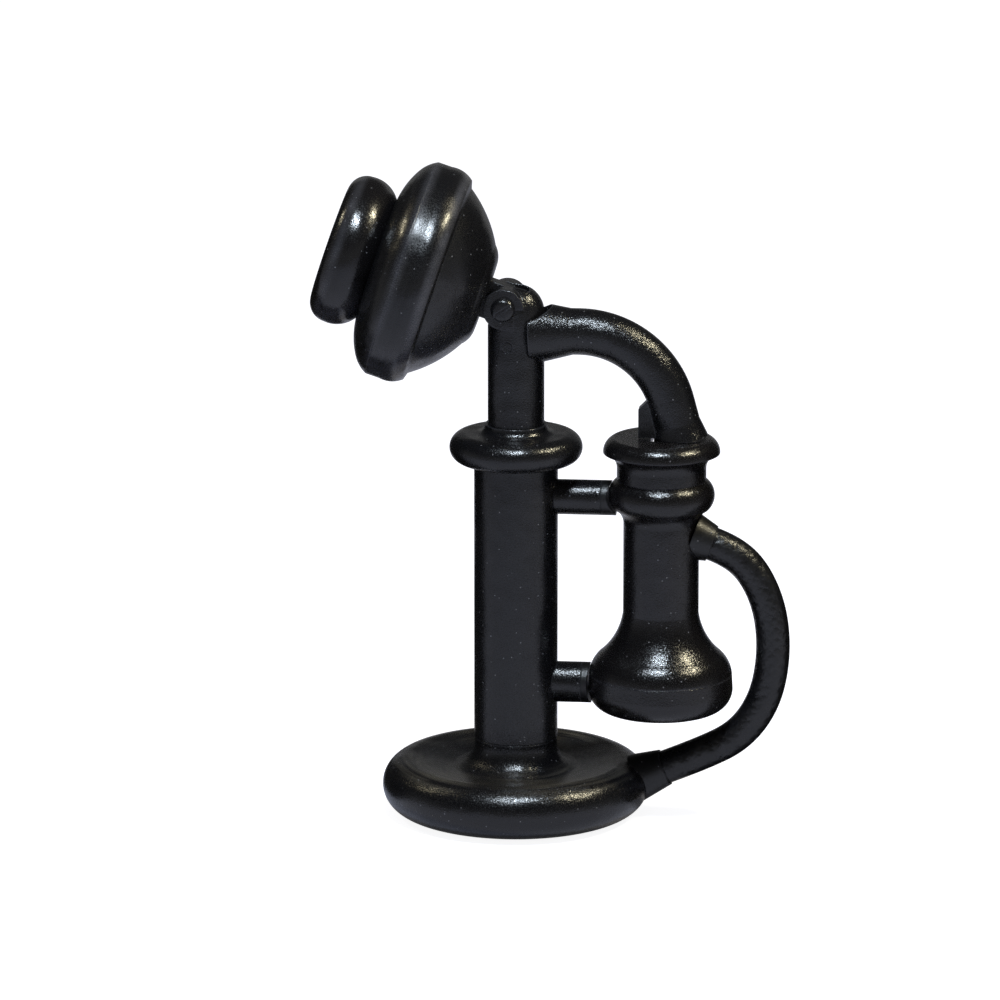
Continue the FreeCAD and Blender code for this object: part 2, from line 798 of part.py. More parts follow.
cone_start = size.cup_back + size.cup_nose
cup_ridge = cone_start + size.cone_depth
drum_back = cup_ridge + size.shoulder_depth
drum_front = drum_back + size.drum_land
face_front = drum_front + size.face_depth
mouth_front = face_front + size.mouth_depth
step_radius = size.drum_radius - size.step_inset
ridge_radius = step_radius - size.ridge_inset
bridge_screw_ring = size.drum_radius - size.cup_wall - size.bridge_screw_inset
diaphragm_radius = bridge_screw_ring - size.bridge_screw_radius - size.free_gap
gasket_inner = diaphragm_radius - size.gasket_width
cup = new_body("transmitter_cup")
turned(cup, "cup_turning", [
    (0, size.cup_back),
    (size.cup_back_radius, size.cup_back),
    Bend(size.cup_cone_radius, cone_start, size.cup_back_radius),
    Bend(ridge_radius, cup_ridge, size.cone_round),
    (step_radius, cup_ridge + size.step_depth),
    Bend(size.drum_radius, drum_back, size.shoulder_roll),
    (size.drum_radius, drum_front),
    (size.drum_radius - size.cup_wall, drum_front),
    (size.drum_radius - size.cup_wall, drum_back),
    (ridge_radius - size.cup_wall * 0.5, cup_ridge + size.cup_wall * 1.2),
    (size.cup_cone_radius - size.cup_wall * 0.5, cone_start + size.cup_wall * 1.2),
    (0, size.cup_back + size.cup_wall * 1.5),
])
lug_sketch = sketch_on(cup, "lug_profile", "XZ_Plane")
outline(lug_sketch, [
    (-size.lug_radius, 0),
    Bend(0, -size.lug_radius, size.lug_radius),
    Bend(size.lug_radius, 0, size.lug_radius),
    (size.lug_radius, size.cup_back + size.cup_wall / 2),
    (-size.lug_radius, size.cup_back + size.cup_wall / 2),
])
padded(cup, lug_sketch, "lug", size.lug_width, symmetric=True)
lug_hole_sketch = sketch_on(cup, "lug_hole", "XZ_Plane")
circle(lug_hole_sketch, 0, 0, size.tilt_bolt_radius + size.running_fit)
pocketed(cup, lug_hole_sketch, "lug_drilling", size.lug_width * 2, symmetric=True)
cup.Placement = drum_place
node(cup, "transmitter_cup")

face = new_body("transmitter_face")
turned(face, "face_turning", [
    (diaphragm_radius, drum_front),
    (size.drum_radius, drum_front),
    Bend(size.drum_radius - size.face_inset, drum_front + size.face_roll, size.face_round),
    Bend(size.face_slope_radius, face_front, size.face_slope_round),
    (size.mouth_thread_radius, face_front),
    (size.mouth_thread_radius, face_front - size.mouth_thread_length),
    (gasket_inner, drum_front + size.cup_wall),
    (gasket_inner, drum_front),
])
face.Placement = drum_place
node(face, "transmitter_face")

mouth = new_body("mouthpiece")
mouth_roll_centre = mouth_front - size.mouth_roll
turned(mouth, "mouth_turning", [
    (size.mouth_throat, face_front - size.mouth_thread_length),
    (size.mouth_thread_radius - size.seat_fit, face_front - size.mouth_thread_length),
    (size.mouth_thread_radius - size.seat_fit, face_front),
    (size.mouth_pinch_radius, face_front),
    Bend(size.mouth_radius, mouth_roll_centre, size.mouth_roll * 1.6),
    Bend(size.mouth_radius - size.mouth_roll, mouth_front, size.mouth_roll),
    (size.mouth_opening, mouth_front),
    Bend(size.mouth_throat, face_front, size.mouth_depth * 1.25, left=False),
])
mouth.Placement = drum_place
node(mouth, "mouthpiece")

gasket = new_body("diaphragm_gasket")
gasket_back = drum_front - size.gasket_thickness
gasket_sketch = sketch_on(gasket, "gasket_profile", "XY_Plane", gasket_back)
circle(gasket_sketch, 0, 0, diaphragm_radius)
circle(gasket_sketch, 0, 0, gasket_inner)
padded(gasket, gasket_sketch, "gasket_pad", size.gasket_thickness)
gasket.Placement = drum_place
node(gasket, "diaphragm_gasket")

diaphragm = new_body("transmitter_diaphragm")
diaphragm_back = gasket_back - size.diaphragm_thickness
diaphragm_sketch = sketch_on(diaphragm, "diaphragm_profile", "XY_Plane", diaphragm_back)
circle(diaphragm_sketch, 0, 0, diaphragm_radius)
padded(diaphragm, diaphragm_sketch, "diaphragm_pad", size.diaphragm_thickness)
diaphragm.Placement = drum_place
node(diaphragm, "transmitter_diaphragm")

carbon = new_body("carbon_button")
carbon_back = diaphragm_back - size.carbon_height
carbon_sketch = sketch_on(carbon, "carbon_profile", "XY_Plane", carbon_back)
circle(carbon_sketch, 0, 0, size.carbon_radius)
padded(carbon, carbon_sketch, "carbon_pad", size.carbon_height)
carbon.Placement = drum_place
node(carbon, "carbon_button")

bridge = new_body("button_bridge")
bridge_back = carbon_back - size.bridge_thickness
bridge_sketch = sketch_on(bridge, "bridge_profile", "XY_Plane", bridge_back)
bridge_flat = bridge_screw_ring + size.bridge_end - size.bridge_width * 0.25
outline(bridge_sketch, [
    Bend(-bridge_flat, -size.bridge_width / 2, size.bridge_width * 0.6),
    (bridge_flat, -size.bridge_width / 2),
    Bend(bridge_flat, size.bridge_width / 2, size.bridge_width * 0.6),
    (-bridge_flat, size.bridge_width / 2),
])
for side in (-1, 1):
    circle(bridge_sketch, bridge_screw_ring * side, 0, size.bridge_screw_radius + size.seat_fit)
padded(bridge, bridge_sketch, "bridge_pad", size.bridge_thickness)
bridge.Placement = drum_place
node(bridge, "button_bridge")

bridge_screws = []
bridge_screw_length = drum_front - bridge_back
for index, side in enumerate((-1, 1)):
    under_head = Vector(bridge_screw_ring.value * side, 0, bridge_back.value)
    bridge_screw = screw("bridge_screw_%d" % index, size.bridge_screw_radius, bridge_screw_length,
                         size.bridge_head_radius, size.plate_screw_head_height, under_head, ALONG_Z)
    bridge_screws.append(bridge_screw)
bridge_screw_group = compound("bridge_screws", bridge_screws)
bridge_screw_group.Placement = drum_place


# Hook arm: a bent round bar with a tongue at the pivot and a hanger button at the end

slant = math.radians(90 - size.arm_slant.value)
arm_drop = arm_z.value - size.arm_bend.value * (1 - math.cos(slant)) - arm_end_z.value
bend_end = Vector(arm_reach.value - arm_drop / math.tan(slant), 0, arm_end_z.value + arm_drop)
bend_start = Vector(bend_end.x - size.arm_bend.value * math.sin(slant), 0, arm_z.value)
bend_middle = Vector(bend_start.x + size.arm_bend.value * math.sin(slant / 2), 0,
                     arm_z.value - size.arm_bend.value * (1 - math.cos(slant / 2)))
arm_root = Vector(0, 0, arm_z.value)
arm_end = Vector(arm_reach.value, 0, arm_end_z.value)
arm_path = Part.Wire([
    Part.LineSegment(arm_root, bend_start).toShape(),
    Part.Arc(bend_start, bend_middle, bend_end).toShape(),
    Part.LineSegment(bend_end, arm_end).toShape(),
])
arm_section = Part.Wire([Part.Circle(arm_root, ALONG_X, size.arm_radius.value).toShape()])
arm_bar = arm_path.makePipeShell([arm_section], True, False)

# the end flares into a flat foot above the receiver's cap, with a rib on its inner side
foot_depth = size.arm_foot_flare.value
arm_way = (arm_end - bend_end).normalize()
foot_cone = Part.makeCone(size.arm_radius.value * 0.97, size.arm_foot_radius.value, foot_depth,
                          arm_end - arm_way * (foot_depth * 0.8), arm_way)
rib_inside = size.receiver_x.value - size.rib_reach.value
rib_top = arm_end_z.value + size.rib_height.value
rib_lean = (arm_reach.value - rib_inside) / 2
rib_outline = Part.makePolygon([
    Vector(rib_inside, 0, arm_end_z.value),
    Vector(rib_inside, 0, rib_top - rib_lean),
    Vector(rib_inside + rib_lean, 0, rib_top),
    Vector(rib_inside + rib_lean, 0, arm_end_z.value),
    Vector(rib_inside, 0, arm_end_z.value),
])
rib = Part.Face(rib_outline).extrude(ALONG_Y * size.rib_width.value)
rib.translate(ALONG_Y * (-size.rib_width.value / 2))
below_foot = Part.makeBox(arm_reach.value * 2, arm_reach.value * 2, arm_end_z.value,
                          Vector(0, -arm_reach.value, 0))
haunch_start = Vector(size.neck_radius.value / 2, 0, arm_z.value - size.haunch_drop.value)
haunch_way = Vector(size.haunch_length.value, 0, size.haunch_drop.value).normalize()
haunch = Part.makeCone(size.haunch_radius.value, size.arm_radius.value * 0.97, size.haunch_length.value,
                       haunch_start, haunch_way)
arm_solid = arm_bar.fuse([foot_cone, haunch, rib]).cut(below_foot)

# the root is hollowed so that it hugs the neck at both ends of the arm's travel
neck_room = Part.makeCylinder(size.neck_radius.value + size.free_gap.value, head_top.value)
lowered_room = neck_room.copy()
lowered_room.rotate(hook_pivot, ALONG_Y, size.hook_travel.value)
halfway_room = neck_room.copy()
halfway_room.rotate(hook_pivot, ALONG_Y, size.hook_travel.value / 2)
arm_solid = arm_solid.cut(neck_room).cut(halfway_room).cut(lowered_room)
behind_neck = Part.makeBox(arm_reach.value, arm_reach.value, arm_z.value * 2,
                           Vector(-arm_reach.value, -arm_reach.value / 2, 0))
arm_solid = arm_solid.cut(behind_neck)

half_tongue = size.tongue_width.value / 2
tongue_disc = Part.makeCylinder(size.tongue_radius.value, size.tongue_width.value,
                                hook_pivot - ALONG_Y * half_tongue, ALONG_Y)
tongue_bar = Part.makeBox(size.neck_radius.value + size.arm_radius.value / 2 - size.hook_x.value,
                          size.tongue_width.value, size.tongue_radius.value * 2,
                          Vector(size.hook_x.value, -half_tongue,
                                 hook_z.value - size.tongue_radius.value))
pivot_hole = Part.makeCylinder(size.hook_pin_radius.value + size.running_fit.value,
                               size.tongue_width.value * 2,
                               hook_pivot - ALONG_Y * size.tongue_width.value, ALONG_Y)
button_place = Vector(size.receiver_x.value, 0, button_bottom.value)
button_head = Part.makeCylinder(size.button_radius.value, size.button_height.value, button_place)
button_edges = [edge for edge in button_head.Edges if edge.isClosed()]
button_head = button_head.makeChamfer(size.button_chamfer.value, button_edges)
button_stalk = Part.makeCylinder(size.button_neck.value,
                                 arm_end_z.value - button_bottom.value + size.button_height.value,
                                 button_place)
arm_solid = arm_solid.fuse([tongue_disc, tongue_bar, button_head, button_stalk]).cut(pivot_hole)
hook_arm = doc.addObject("Part::Feature", "hook_arm")
hook_arm.Shape = arm_solid.removeSplitter()
hook_arm.Placement = Placement()
node(hook_arm, "hook_arm")


# Receiver, drawn about its own upright axis

cap = new_body("receiver_cap")
flange_bottom = cap_top - size.flange_height
turned(cap, "cap_turning", [
    (0, cap_seat - size.cap_spigot),
    (body_bore - size.seat_fit, cap_seat - size.cap_spigot),
    (body_bore - size.seat_fit, cap_seat),
    (size.groove_radius, cap_seat),
    (size.groove_radius, flange_bottom - size.flange_height * 0.25),
    Bend(size.flange_radius, flange_bottom + size.flange_height * 0.4, size.flange_height * 0.65,
         left=False),
    Bend(size.flange_radius - size.flange_height * 0.4, cap_top, size.flange_height * 0.62),
    (0, cap_top),
])
hanger_sketch = sketch_on(cap, "hanger_slot_profile", "XZ_Plane", size.button_radius + size.slot_side_gap)
slot_floor = button_bottom - size.slot_side_gap
slot_roof = cap_top - size.hanger_lip
outline(hanger_sketch, [
    (-size.button_radius - size.slot_side_gap, slot_floor),
    (size.button_radius + size.slot_side_gap, slot_floor),
    (size.button_radius + size.slot_side_gap, slot_roof),
    (size.button_neck + size.slot_side_gap, slot_roof),
    (size.button_neck + size.slot_side_gap, cap_top + size.hanger_lip),
    (-size.button_neck - size.slot_side_gap, cap_top + size.hanger_lip),
    (-size.button_neck - size.slot_side_gap, slot_roof),
    (-size.button_radius - size.slot_side_gap, slot_roof),
])
pocketed(cap, hanger_sketch, "hanger_slot", size.flange_radius * 2)
cap.Placement = receiver_place
node(cap, "receiver_cap")

dish_radius = size.bell_radius - size.ear_rim
ear_diaphragm_radius = size.bell_radius - size.ear_diaphragm_inset
shell = new_body("receiver_shell_turning")
bead_middle = cap_seat - size.bead_height / 2
bead_bottom = cap_seat - size.bead_height
flare_top = shell_bottom + size.flare_length
ledge_z = shell_bottom - size.ear_ledge
turned(shell, "shell_turning", [
    (body_bore, cap_seat),
    (body_bore, flare_top - size.ear_wall),
    (dish_radius + size.ear_wall / 2, shell_bottom + size.ear_wall),
    (dish_radius + size.ear_wall / 2, ledge_z + size.ear_diaphragm_thickness),
    (ear_diaphragm_radius, ledge_z + size.ear_diaphragm_thickness),
    (ear_diaphragm_radius, shell_bottom),
    (size.bell_radius - size.ear_wall * 0.1, shell_bottom),
    Bend(size.body_radius + (size.bell_radius - size.body_radius) * 0.62,
         shell_bottom + size.flare_length * 0.34, size.bell_roll * 1.4),
    Bend(size.body_radius, flare_top, size.flare_length * 1.1, left=False),
    (size.body_radius, bead_bottom - size.bead_neck),
    Bend(size.bead_radius - size.bead_height * 0.2, bead_bottom, size.bead_neck * 1.2, left=False),
    Bend(size.bead_radius, bead_middle, size.bead_height * 0.62),
    Bend(size.groove_radius, cap_seat, size.bead_height * 0.62),
])
shell.Placement = receiver_place
bush_lean = math.radians(size.bush_angle.value)
bush_way = Vector(math.cos(bush_lean), 0, math.sin(bush_lean))
bush_z = bead_bottom - size.bead_neck - size.bush_drop
bush_centre = Vector(size.receiver_x.value, 0, bush_z.value)
bush_hole = cylinder("bush_hole", size.sleeve_spigot + size.seat_fit, size.bush_reach,
                     bush_centre + bush_way * size.wire_bore.value, bush_way)
node(cut("receiver_shell", shell, [bush_hole]), "receiver_shell")

ear_cap = new_body("ear_cap")
turned(ear_cap, "ear_cap_turning", [
    (size.ear_hole, receiver_bottom + size.ear_dish),
    Bend(dish_radius, receiver_bottom, dish_radius * 1.6, left=False),
    Bend(size.bell_radius, receiver_bottom + size.bell_roll, size.bell_roll),
    (size.bell_radius - size.ear_wall * 0.1, shell_bottom),
    (ear_diaphragm_radius + size.seat_fit, shell_bottom),
    (ear_diaphragm_radius + size.seat_fit, ledge_z),
    (dish_radius, ledge_z),
    (dish_radius, receiver_bottom + size.ear_dish + size.ear_wall * 1.5),
    (size.ear_hole, receiver_bottom + size.ear_dish + size.ear_wall),
])
ear_cap.Placement = receiver_place
node(ear_cap, "ear_cap")

ear_diaphragm = new_body("receiver_diaphragm")
ear_diaphragm_sketch = sketch_on(ear_diaphragm, "ear_diaphragm_profile", "XY_Plane", ledge_z)
circle(ear_diaphragm_sketch, 0, 0, ear_diaphragm_radius)
padded(ear_diaphragm, ear_diaphragm_sketch, "ear_diaphragm_pad", size.ear_diaphragm_thickness)
ear_diaphragm.Placement = receiver_place
node(ear_diaphragm, "receiver_diaphragm")

pole_bottom = ledge_z + size.ear_diaphragm_thickness + size.free_gap
pole_top = pole_bottom + size.pole_length
magnet = new_body("receiver_magnet")
magnet_sketch = sketch_on(magnet, "magnet_profile", "XZ_Plane")
magnet_top = cap_seat - size.cap_spigot
outline(magnet_sketch, [
    (-size.magnet_width / 2, pole_top),
    (-size.magnet_width / 2 + size.magnet_leg, pole_top),
    (-size.magnet_width / 2 + size.magnet_leg, magnet_top - size.magnet_leg),
    (size.magnet_width / 2 - size.magnet_leg, magnet_top - size.magnet_leg),
    (size.magnet_width / 2 - size.magnet_leg, pole_top),
    (size.magnet_width / 2, pole_top),
    (size.magnet_width / 2, magnet_top),
    (-size.magnet_width / 2, magnet_top),
])
padded(magnet, magnet_sketch, "magnet_pad", size.magnet_depth, symmetric=True)
magnet.Placement = receiver_place
node(magnet, "receiver_magnet")

pole_x = (size.magnet_width - size.magnet_leg) / 2
poles = []
coils = []
for name, side in (("left", -1), ("right", 1)):
    pole = new_body(name + "_pole")
    pole_sketch = sketch_on(pole, name + "_pole_profile", "XY_Plane", pole_bottom)
    pole_corners = [
        (pole_x * side - size.pole_width / 2, -size.magnet_depth / 2),
        (pole_x * side + size.pole_width / 2, -size.magnet_depth / 2),
        (pole_x * side + size.pole_width / 2, size.magnet_depth / 2),
        (pole_x * side - size.pole_width / 2, size.magnet_depth / 2),
    ]
    outline(pole_sketch, pole_corners)
    padded(pole, pole_sketch, name + "_pole_pad", size.pole_length)
    poles.append(pole)
    coil = new_body(name + "_coil")
    coil_sketch = sketch_on(coil, name + "_coil_profile", "XY_Plane", pole_bottom + size.free_gap * 3)
    coil_flat = size.coil_depth / 2 - size.coil_width / 2
    outline(coil_sketch, [
        (pole_x * side - size.coil_width / 2, -coil_flat),
        Bend(pole_x * side, -size.coil_depth / 2, size.coil_width / 2),
        Bend(pole_x * side + size.coil_width / 2, -coil_flat, size.coil_width / 2),
        (pole_x * side + size.coil_width / 2, coil_flat),
        Bend(pole_x * side, size.coil_depth / 2, size.coil_width / 2),
        Bend(pole_x * side - size.coil_width / 2, coil_flat, size.coil_width / 2),
    ])
    outline(coil_sketch, pole_corners)
    padded(coil, coil_sketch, name + "_coil_pad", size.coil_height)
    coils.append(coil)
pole_group = compound("pole_pieces", poles)
pole_group.Placement = receiver_place
coil_group = compound("pole_coils", coils)
coil_group.Placement = receiver_place

posts = []
for index, side in enumerate((-1, 1)):
    post_base = Vector(0, side * (size.magnet_depth.value / 2 + size.magnet_leg.value),
                       (magnet_top - size.magnet_leg).value)
    posts.append(cylinder("receiver_post_%d" % index, size.post_radius, size.magnet_leg, post_base, ALONG_Z))
post_group = compound("receiver_terminals", posts)
post_group.Placement = receiver_place


# Cord sleeves, rest pegs and cord

def sleeve(label, centre, way, start, reach, hollows):
    """A tapered saddle sleeve with a spigot, cut to the faces that it sits on."""
    cone = doc.addObject("Part::Cone", label + "_cone")
    cone.setExpression("Radius1", size.sleeve_root_radius.formula)
    cone.setExpression("Radius2", (size.cord_radius + size.sleeve_wall).formula)
    cone.setExpression("Height", (reach - start).formula)
    cone.Placement = Placement(centre + way * start.value, Rotation(ALONG_Z, way))
    seated = cut(label, cone, hollows)
    spigot_start = start - size.sleeve_spigot_depth
    spigot = cylinder(label + "_spigot", size.sleeve_spigot, reach - spigot_start - size.sleeve_wall,
                      centre + way * spigot_start.value, way)
    return node(fuse(label, [seated, spigot]), label)


rim_ring = doc.addObject("Part::Torus", "rim_ring")
rim_ring.setExpression("Radius1", rim_centre_radius.formula)
rim_ring.setExpression("Radius2", (size.base_roll + size.seat_fit).formula)
rim_ring.Placement = Placement(Vector(0, 0, rim_centre_z.value), Rotation())
sleeve("base_cord_sleeve", sleeve_centre, sleeve_way, size.base_roll - size.sleeve_bite,
       size.base_sleeve_reach, [rim_ring])

body_bar = cylinder("body_bar", size.body_radius + size.seat_fit, cap_seat,
                    Vector(size.receiver_x.value, 0, 0), ALONG_Z)
sleeve("receiver_cord_bush", bush_centre, bush_way, size.body_radius - size.bush_bite, size.bush_reach,
       [body_bar, shell])

stem_bar = cylinder("stem_bar", size.stem_radius + size.seat_fit, size.stem_top, Vector(0, 0, 0), ALONG_Z)
for level, peg_z, peg_radius, reach in (
        ("upper", upper_peg_z, size.upper_peg_radius, size.bead_radius),
        ("lower", lower_peg_z, size.lower_peg_radius, size.bell_radius)):
    pad_face = size.receiver_x - reach - size.free_gap
    peg_end = pad_face - size.pad_thickness
    peg_bar = cylinder(level + "_peg_bar", peg_radius, peg_end - stem_bore / 2,
                       Vector(stem_bore.value / 2, 0, peg_z.value), ALONG_X)
    peg_seat = cut(level + "_rest_peg", peg_bar, [stem_bar])
    stud = cylinder(level + "_peg_stud", size.peg_stud_radius, peg_end - stem_bore - size.free_gap,
                    Vector(stem_bore.value + size.free_gap.value, 0, peg_z.value), ALONG_X)
    node(fuse(level + "_rest_peg", [peg_seat, stud]), level + "_rest_peg")
    node(cylinder(level + "_rest_pad", peg_radius, size.pad_thickness,
                  Vector(peg_end.value, 0, peg_z.value), ALONG_X), level + "_rest_pad")

cord_start = bush_centre + bush_way * size.bush_reach.value
cord_finish = sleeve_centre + sleeve_way * size.base_sleeve_reach.value
first_bend = cord_start + bush_way * size.cord_first_run.value
last_bend = cord_finish + sleeve_way * size.cord_last_run.value
middle_bends = [Vector(x, 0, z) for x, z in CORD_BENDS]
cord_points = [cord_start, first_bend] + middle_bends + [last_bend, cord_finish]
cord_edges = []
cord_radii = []
reached = cord_points[0]
for before, here, after in zip(cord_points, cord_points[1:], cord_points[2:]):
    arriving = here - before
    leaving = after - here
    turn = arriving.getAngle(leaving)
    shorter = min(arriving.Length, leaving.Length)
    trim = CORD_ARC_SHARE * shorter
    radius = trim / math.tan(turn / 2)
    cord_radii.append(radius)
    arc_start = here - Vector(arriving).normalize() * trim
    arc_end = here + Vector(leaving).normalize() * trim
    inward = (Vector(leaving).normalize() - Vector(arriving).normalize()).normalize()
    arc_middle = here + inward * (radius / math.cos(turn / 2) - radius)
    cord_edges.append(Part.LineSegment(reached, arc_start).toShape())
    cord_edges.append(Part.Arc(arc_start, arc_middle, arc_end).toShape())
    reached = arc_end
cord_edges.append(Part.LineSegment(reached, cord_points[-1]).toShape())
cord_path = Part.Wire(cord_edges)
cord_section = Part.Wire([Part.Circle(cord_start, bush_way, size.cord_radius.value).toShape()])
receiver_cord = doc.addObject("Part::Feature", "receiver_cord")
receiver_cord.Shape = cord_path.makePipeShell([cord_section], True, False)
receiver_cord.Placement = Placement()
node(receiver_cord, "receiver_cord")
cord_volume = math.pi * size.cord_radius.value ** 2 * cord_path.Length
print("cord length %.1f mm, radii %s" % (cord_path.Length, ["%.0f" % radius for radius in cord_radii]))
print("cord volume %.0f mm3, section times length %.0f mm3" % (receiver_cord.Shape.Volume, cord_volume))


# Check every piece, then write each to its own file

doc.recompute()
for thing in doc.Objects:
    if "Invalid" in thing.State or "Error" in thing.State:
        raise ValueError("%s did not build: %s" % (thing.Label, thing.State))
for piece in nodes:
    if piece.Shape.isNull() or not piece.Shape.isValid():
        raise ValueError("%s has no valid shape" % piece.Label)
    if not piece.Shape.Solids:
        raise ValueError("%s holds no solid" % piece.Label)
os.makedirs("parts", exist_ok=True)
for piece in nodes:
    piece.Shape.exportStep("parts/%s.step" % piece.Label)
print("%d pieces written" % len(nodes))
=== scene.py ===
"""Finishes, cord, felt and studio for an upright desk telephone, laid out as an add-on."""
import math

import bmesh
import bpy
from mathutils import Matrix, Vector


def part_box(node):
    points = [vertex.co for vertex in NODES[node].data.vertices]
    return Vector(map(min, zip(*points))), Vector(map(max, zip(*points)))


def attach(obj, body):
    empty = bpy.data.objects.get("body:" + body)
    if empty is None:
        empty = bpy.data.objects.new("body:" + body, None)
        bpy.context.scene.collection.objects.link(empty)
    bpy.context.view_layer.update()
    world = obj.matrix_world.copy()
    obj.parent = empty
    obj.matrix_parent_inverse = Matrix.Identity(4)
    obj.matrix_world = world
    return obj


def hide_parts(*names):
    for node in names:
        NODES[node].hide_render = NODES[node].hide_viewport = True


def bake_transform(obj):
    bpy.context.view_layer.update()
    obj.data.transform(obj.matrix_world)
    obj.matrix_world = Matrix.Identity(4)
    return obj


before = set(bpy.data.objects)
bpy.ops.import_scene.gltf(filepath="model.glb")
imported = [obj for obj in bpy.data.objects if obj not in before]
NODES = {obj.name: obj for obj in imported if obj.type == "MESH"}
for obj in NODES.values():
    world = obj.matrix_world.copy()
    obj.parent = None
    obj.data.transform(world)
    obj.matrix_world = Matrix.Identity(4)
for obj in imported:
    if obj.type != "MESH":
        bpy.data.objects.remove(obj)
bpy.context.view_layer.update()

bl_info = {
    "name": "Upright desk telephone",
    "version": (1, 0, 0),
    "blender": (4, 5, 0),
    "location": "3D View > Sidebar > Telephone",
    "description": "Finishes, cord, felt and studio for an upright desk telephone",
    "category": "Object",
}

MM = 0.001

# Surfaces, with lengths in millimetres
# How high a speck in the enamel stands, as a share of the grain
NIB_SHARE = 0.45
# Brush strokes run round the stem, their warm grey also a painted warm sheen: how many go round it,
# the width of one, the width of the patches that they show in, and how strongly they show
BRUSH_ROUND = 7.0
BRUSH_WIDTH = 2.2
BRUSH_PATCH = 30.0
BRUSH_AND_SHEEN_STRENGTH = 0.65
# Rubbed grey lines round the transmitter, which on the drum also paint the highlights of its ridges:
# depth along its axis, half width and strength
DRUM_RIDGES = ((33.8, 3.4, 0.9), (48.2, 3.8, 0.6))
MOUTH_RIDGES = ((77.0, 3.4, 0.7), (82.5, 1.6, 0.3))
# Width of a patch of rub and painted highlight, and how strongly the transmitter's underside is greyed
# as a painted reflection of the floor
RUB_AND_SHEEN_PATCH = 9.0
UNDERSIDE_REFLECTION = 0.8
# Depth of the fine grain in bare metal
METAL_DEPTH = 0.02
# The cord: strands that wind each way round it, width of its lumps, and depth of its lumps, plait and grain
BRAID_STRANDS = 10
LUMP_WIDTH = 6.0
LUMP_DEPTH = 0.7
PLAIT_DEPTH = 0.09
CORD_GRAIN_DEPTH = 0.1
# Width and depth of the fibres in the felt and in the paper
FELT_FIBRE = 0.6
FELT_DEPTH = 0.25
PAPER_FIBRE = 3.0
PAPER_DEPTH = 0.05

# Places that the source gives, in millimetres
TILT_PIVOT = (-4.7, 0.0, 232.2)
TILT_ANGLE = 18.5
CORD_ROUTE = (
    (87.15, 125.29),
    (96.17, 122.01),
    (106.3, 112.4),
    (113.5, 95.4),
    (115.2, 74.8),
    (111.4, 54.0),
    (100.8, 37.9),
    (83.85, 28.58),
    (66.97, 21.77),
)
CORD_LENGTH = 139.5
BOLT_HEAD = 3.0
BOLT_SHANK = 3.0
PLATE_SCREW_RADIUS = 3.5
PLATE_SCREW_HEAD = 1.2
PLATE_SCREW_SHANK = 1.7

# Pieces that are made here, in millimetres and degrees
SCREW_STEPS = 48
# How much of a screw head's height its dome takes up
HEAD_DOME = 0.8
# How the bolt's slot is turned, where the plate screws stand, and how their slots turn from one to the next
BOLT_SLOT_TURN = 35.0
PLATE_SCREW_TURNS = (60.0, 180.0, 300.0)
PLATE_SLOT_TURN = 1.7
# The bumpers' hollows: the node, how far its hollow lies above its middle, and the hollow's radius
BUMPER_HOLLOWS = (("upper_rest_pad", 2.0, 9.2), ("lower_rest_pad", 0.5, 29.0))
# How far a bumper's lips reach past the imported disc, and how far the bottom of its hollow does
BUMPER_LIP = 4.0
BUMPER_ADVANCE = 0.2
BUMPER_STEPS = 96
# Edges that turn less than this are shaded smooth
SMOOTH_BELOW = 35.0

# The studio, in metres and degrees
FLOOR_WIDTH = 4.0
FLOOR_PLACE = (0.0, 0.4, 0.0)
# How bright the floor is to the camera, and what it adds in a reflection
FLOOR_SEEN = 0.9
FLOOR_MIRRORED = 0.08
# How bright the world is as light, and in a reflection from its horizon up to overhead
SKY_LIGHT = 0.3
SKY_MIRRORED = (0.24, 0.03)
SKY_BAND = (0.05, 0.4)
# The black cards on the right, which the left ones mirror: name, width, depth, place, and tilt about y
CARDS = (
    ("standing_card", 0.4, 0.5, (0.24, 0.26, 0.2), 90.0),
    ("lying_card", 0.4, 0.4, (0.28, 0.19, 0.0005), 0.0),
)
# The lamps: name, power setting, share of it, colour, turn, rise and distance
LAMPS = (
    ("key_lamp", "key", 1.0, "#e6f3ff", 4.0, 62.0, 1.0),
    ("left_lamp", "fill", 0.2, "#fff2d0", -102.0, 40.0, 1.1),
    ("right_lamp", "fill", 1.0, "#fff4d2", 85.0, 48.0, 1.1),
)
LAMP_WIDTH = 0.12
LAMP_AIM = (0.0, 0.0, 0.14)
# The telephone's middle, and how far across and up from it the middle of the frame lies
VIEW_MIDDLE = (0.0, 0.0, 0.1532)
FRAME_SHIFT = (-0.00709, -0.00975, 0.0)
SENSOR_WIDTH = 36.0
VIEW_END = 20.0


def linear(hex_colour):
    """Turn an sRGB hex colour into the linear colour that a shader takes."""
    channels = [int(hex_colour[place:place + 2], 16) / 255 for place in (1, 3, 5)]
    light = [c / 12.92 if c <= 0.04045 else ((c + 0.055) / 1.055) ** 2.4 for c in channels]
    return (*light, 1.0)


def colour_setting(name, description, hex_colour):
    """A colour that a user can change."""
    return bpy.props.FloatVectorProperty(name=name, description=description, subtype="COLOR", size=4,
                                         min=0.0, max=1.0, default=linear(hex_colour))


def length_setting(name, description, millimetres):
    """A length that a user can change."""
    return bpy.props.FloatProperty(name=name, description=description, subtype="DISTANCE",
                                   unit="LENGTH", min=0.0, precision=5, default=millimetres * MM)


def angle_setting(name, description, degrees):
    """An angle that a user can change."""
    return bpy.props.FloatProperty(name=name, description=description, subtype="ANGLE",
                                   unit="ROTATION", default=math.radians(degrees))


def power_setting(name, description, watts):
    """A lamp's power that a user can change."""
    return bpy.props.FloatProperty(name=name, description=description, subtype="POWER",
                                   unit="POWER", min=0.0, default=watts)


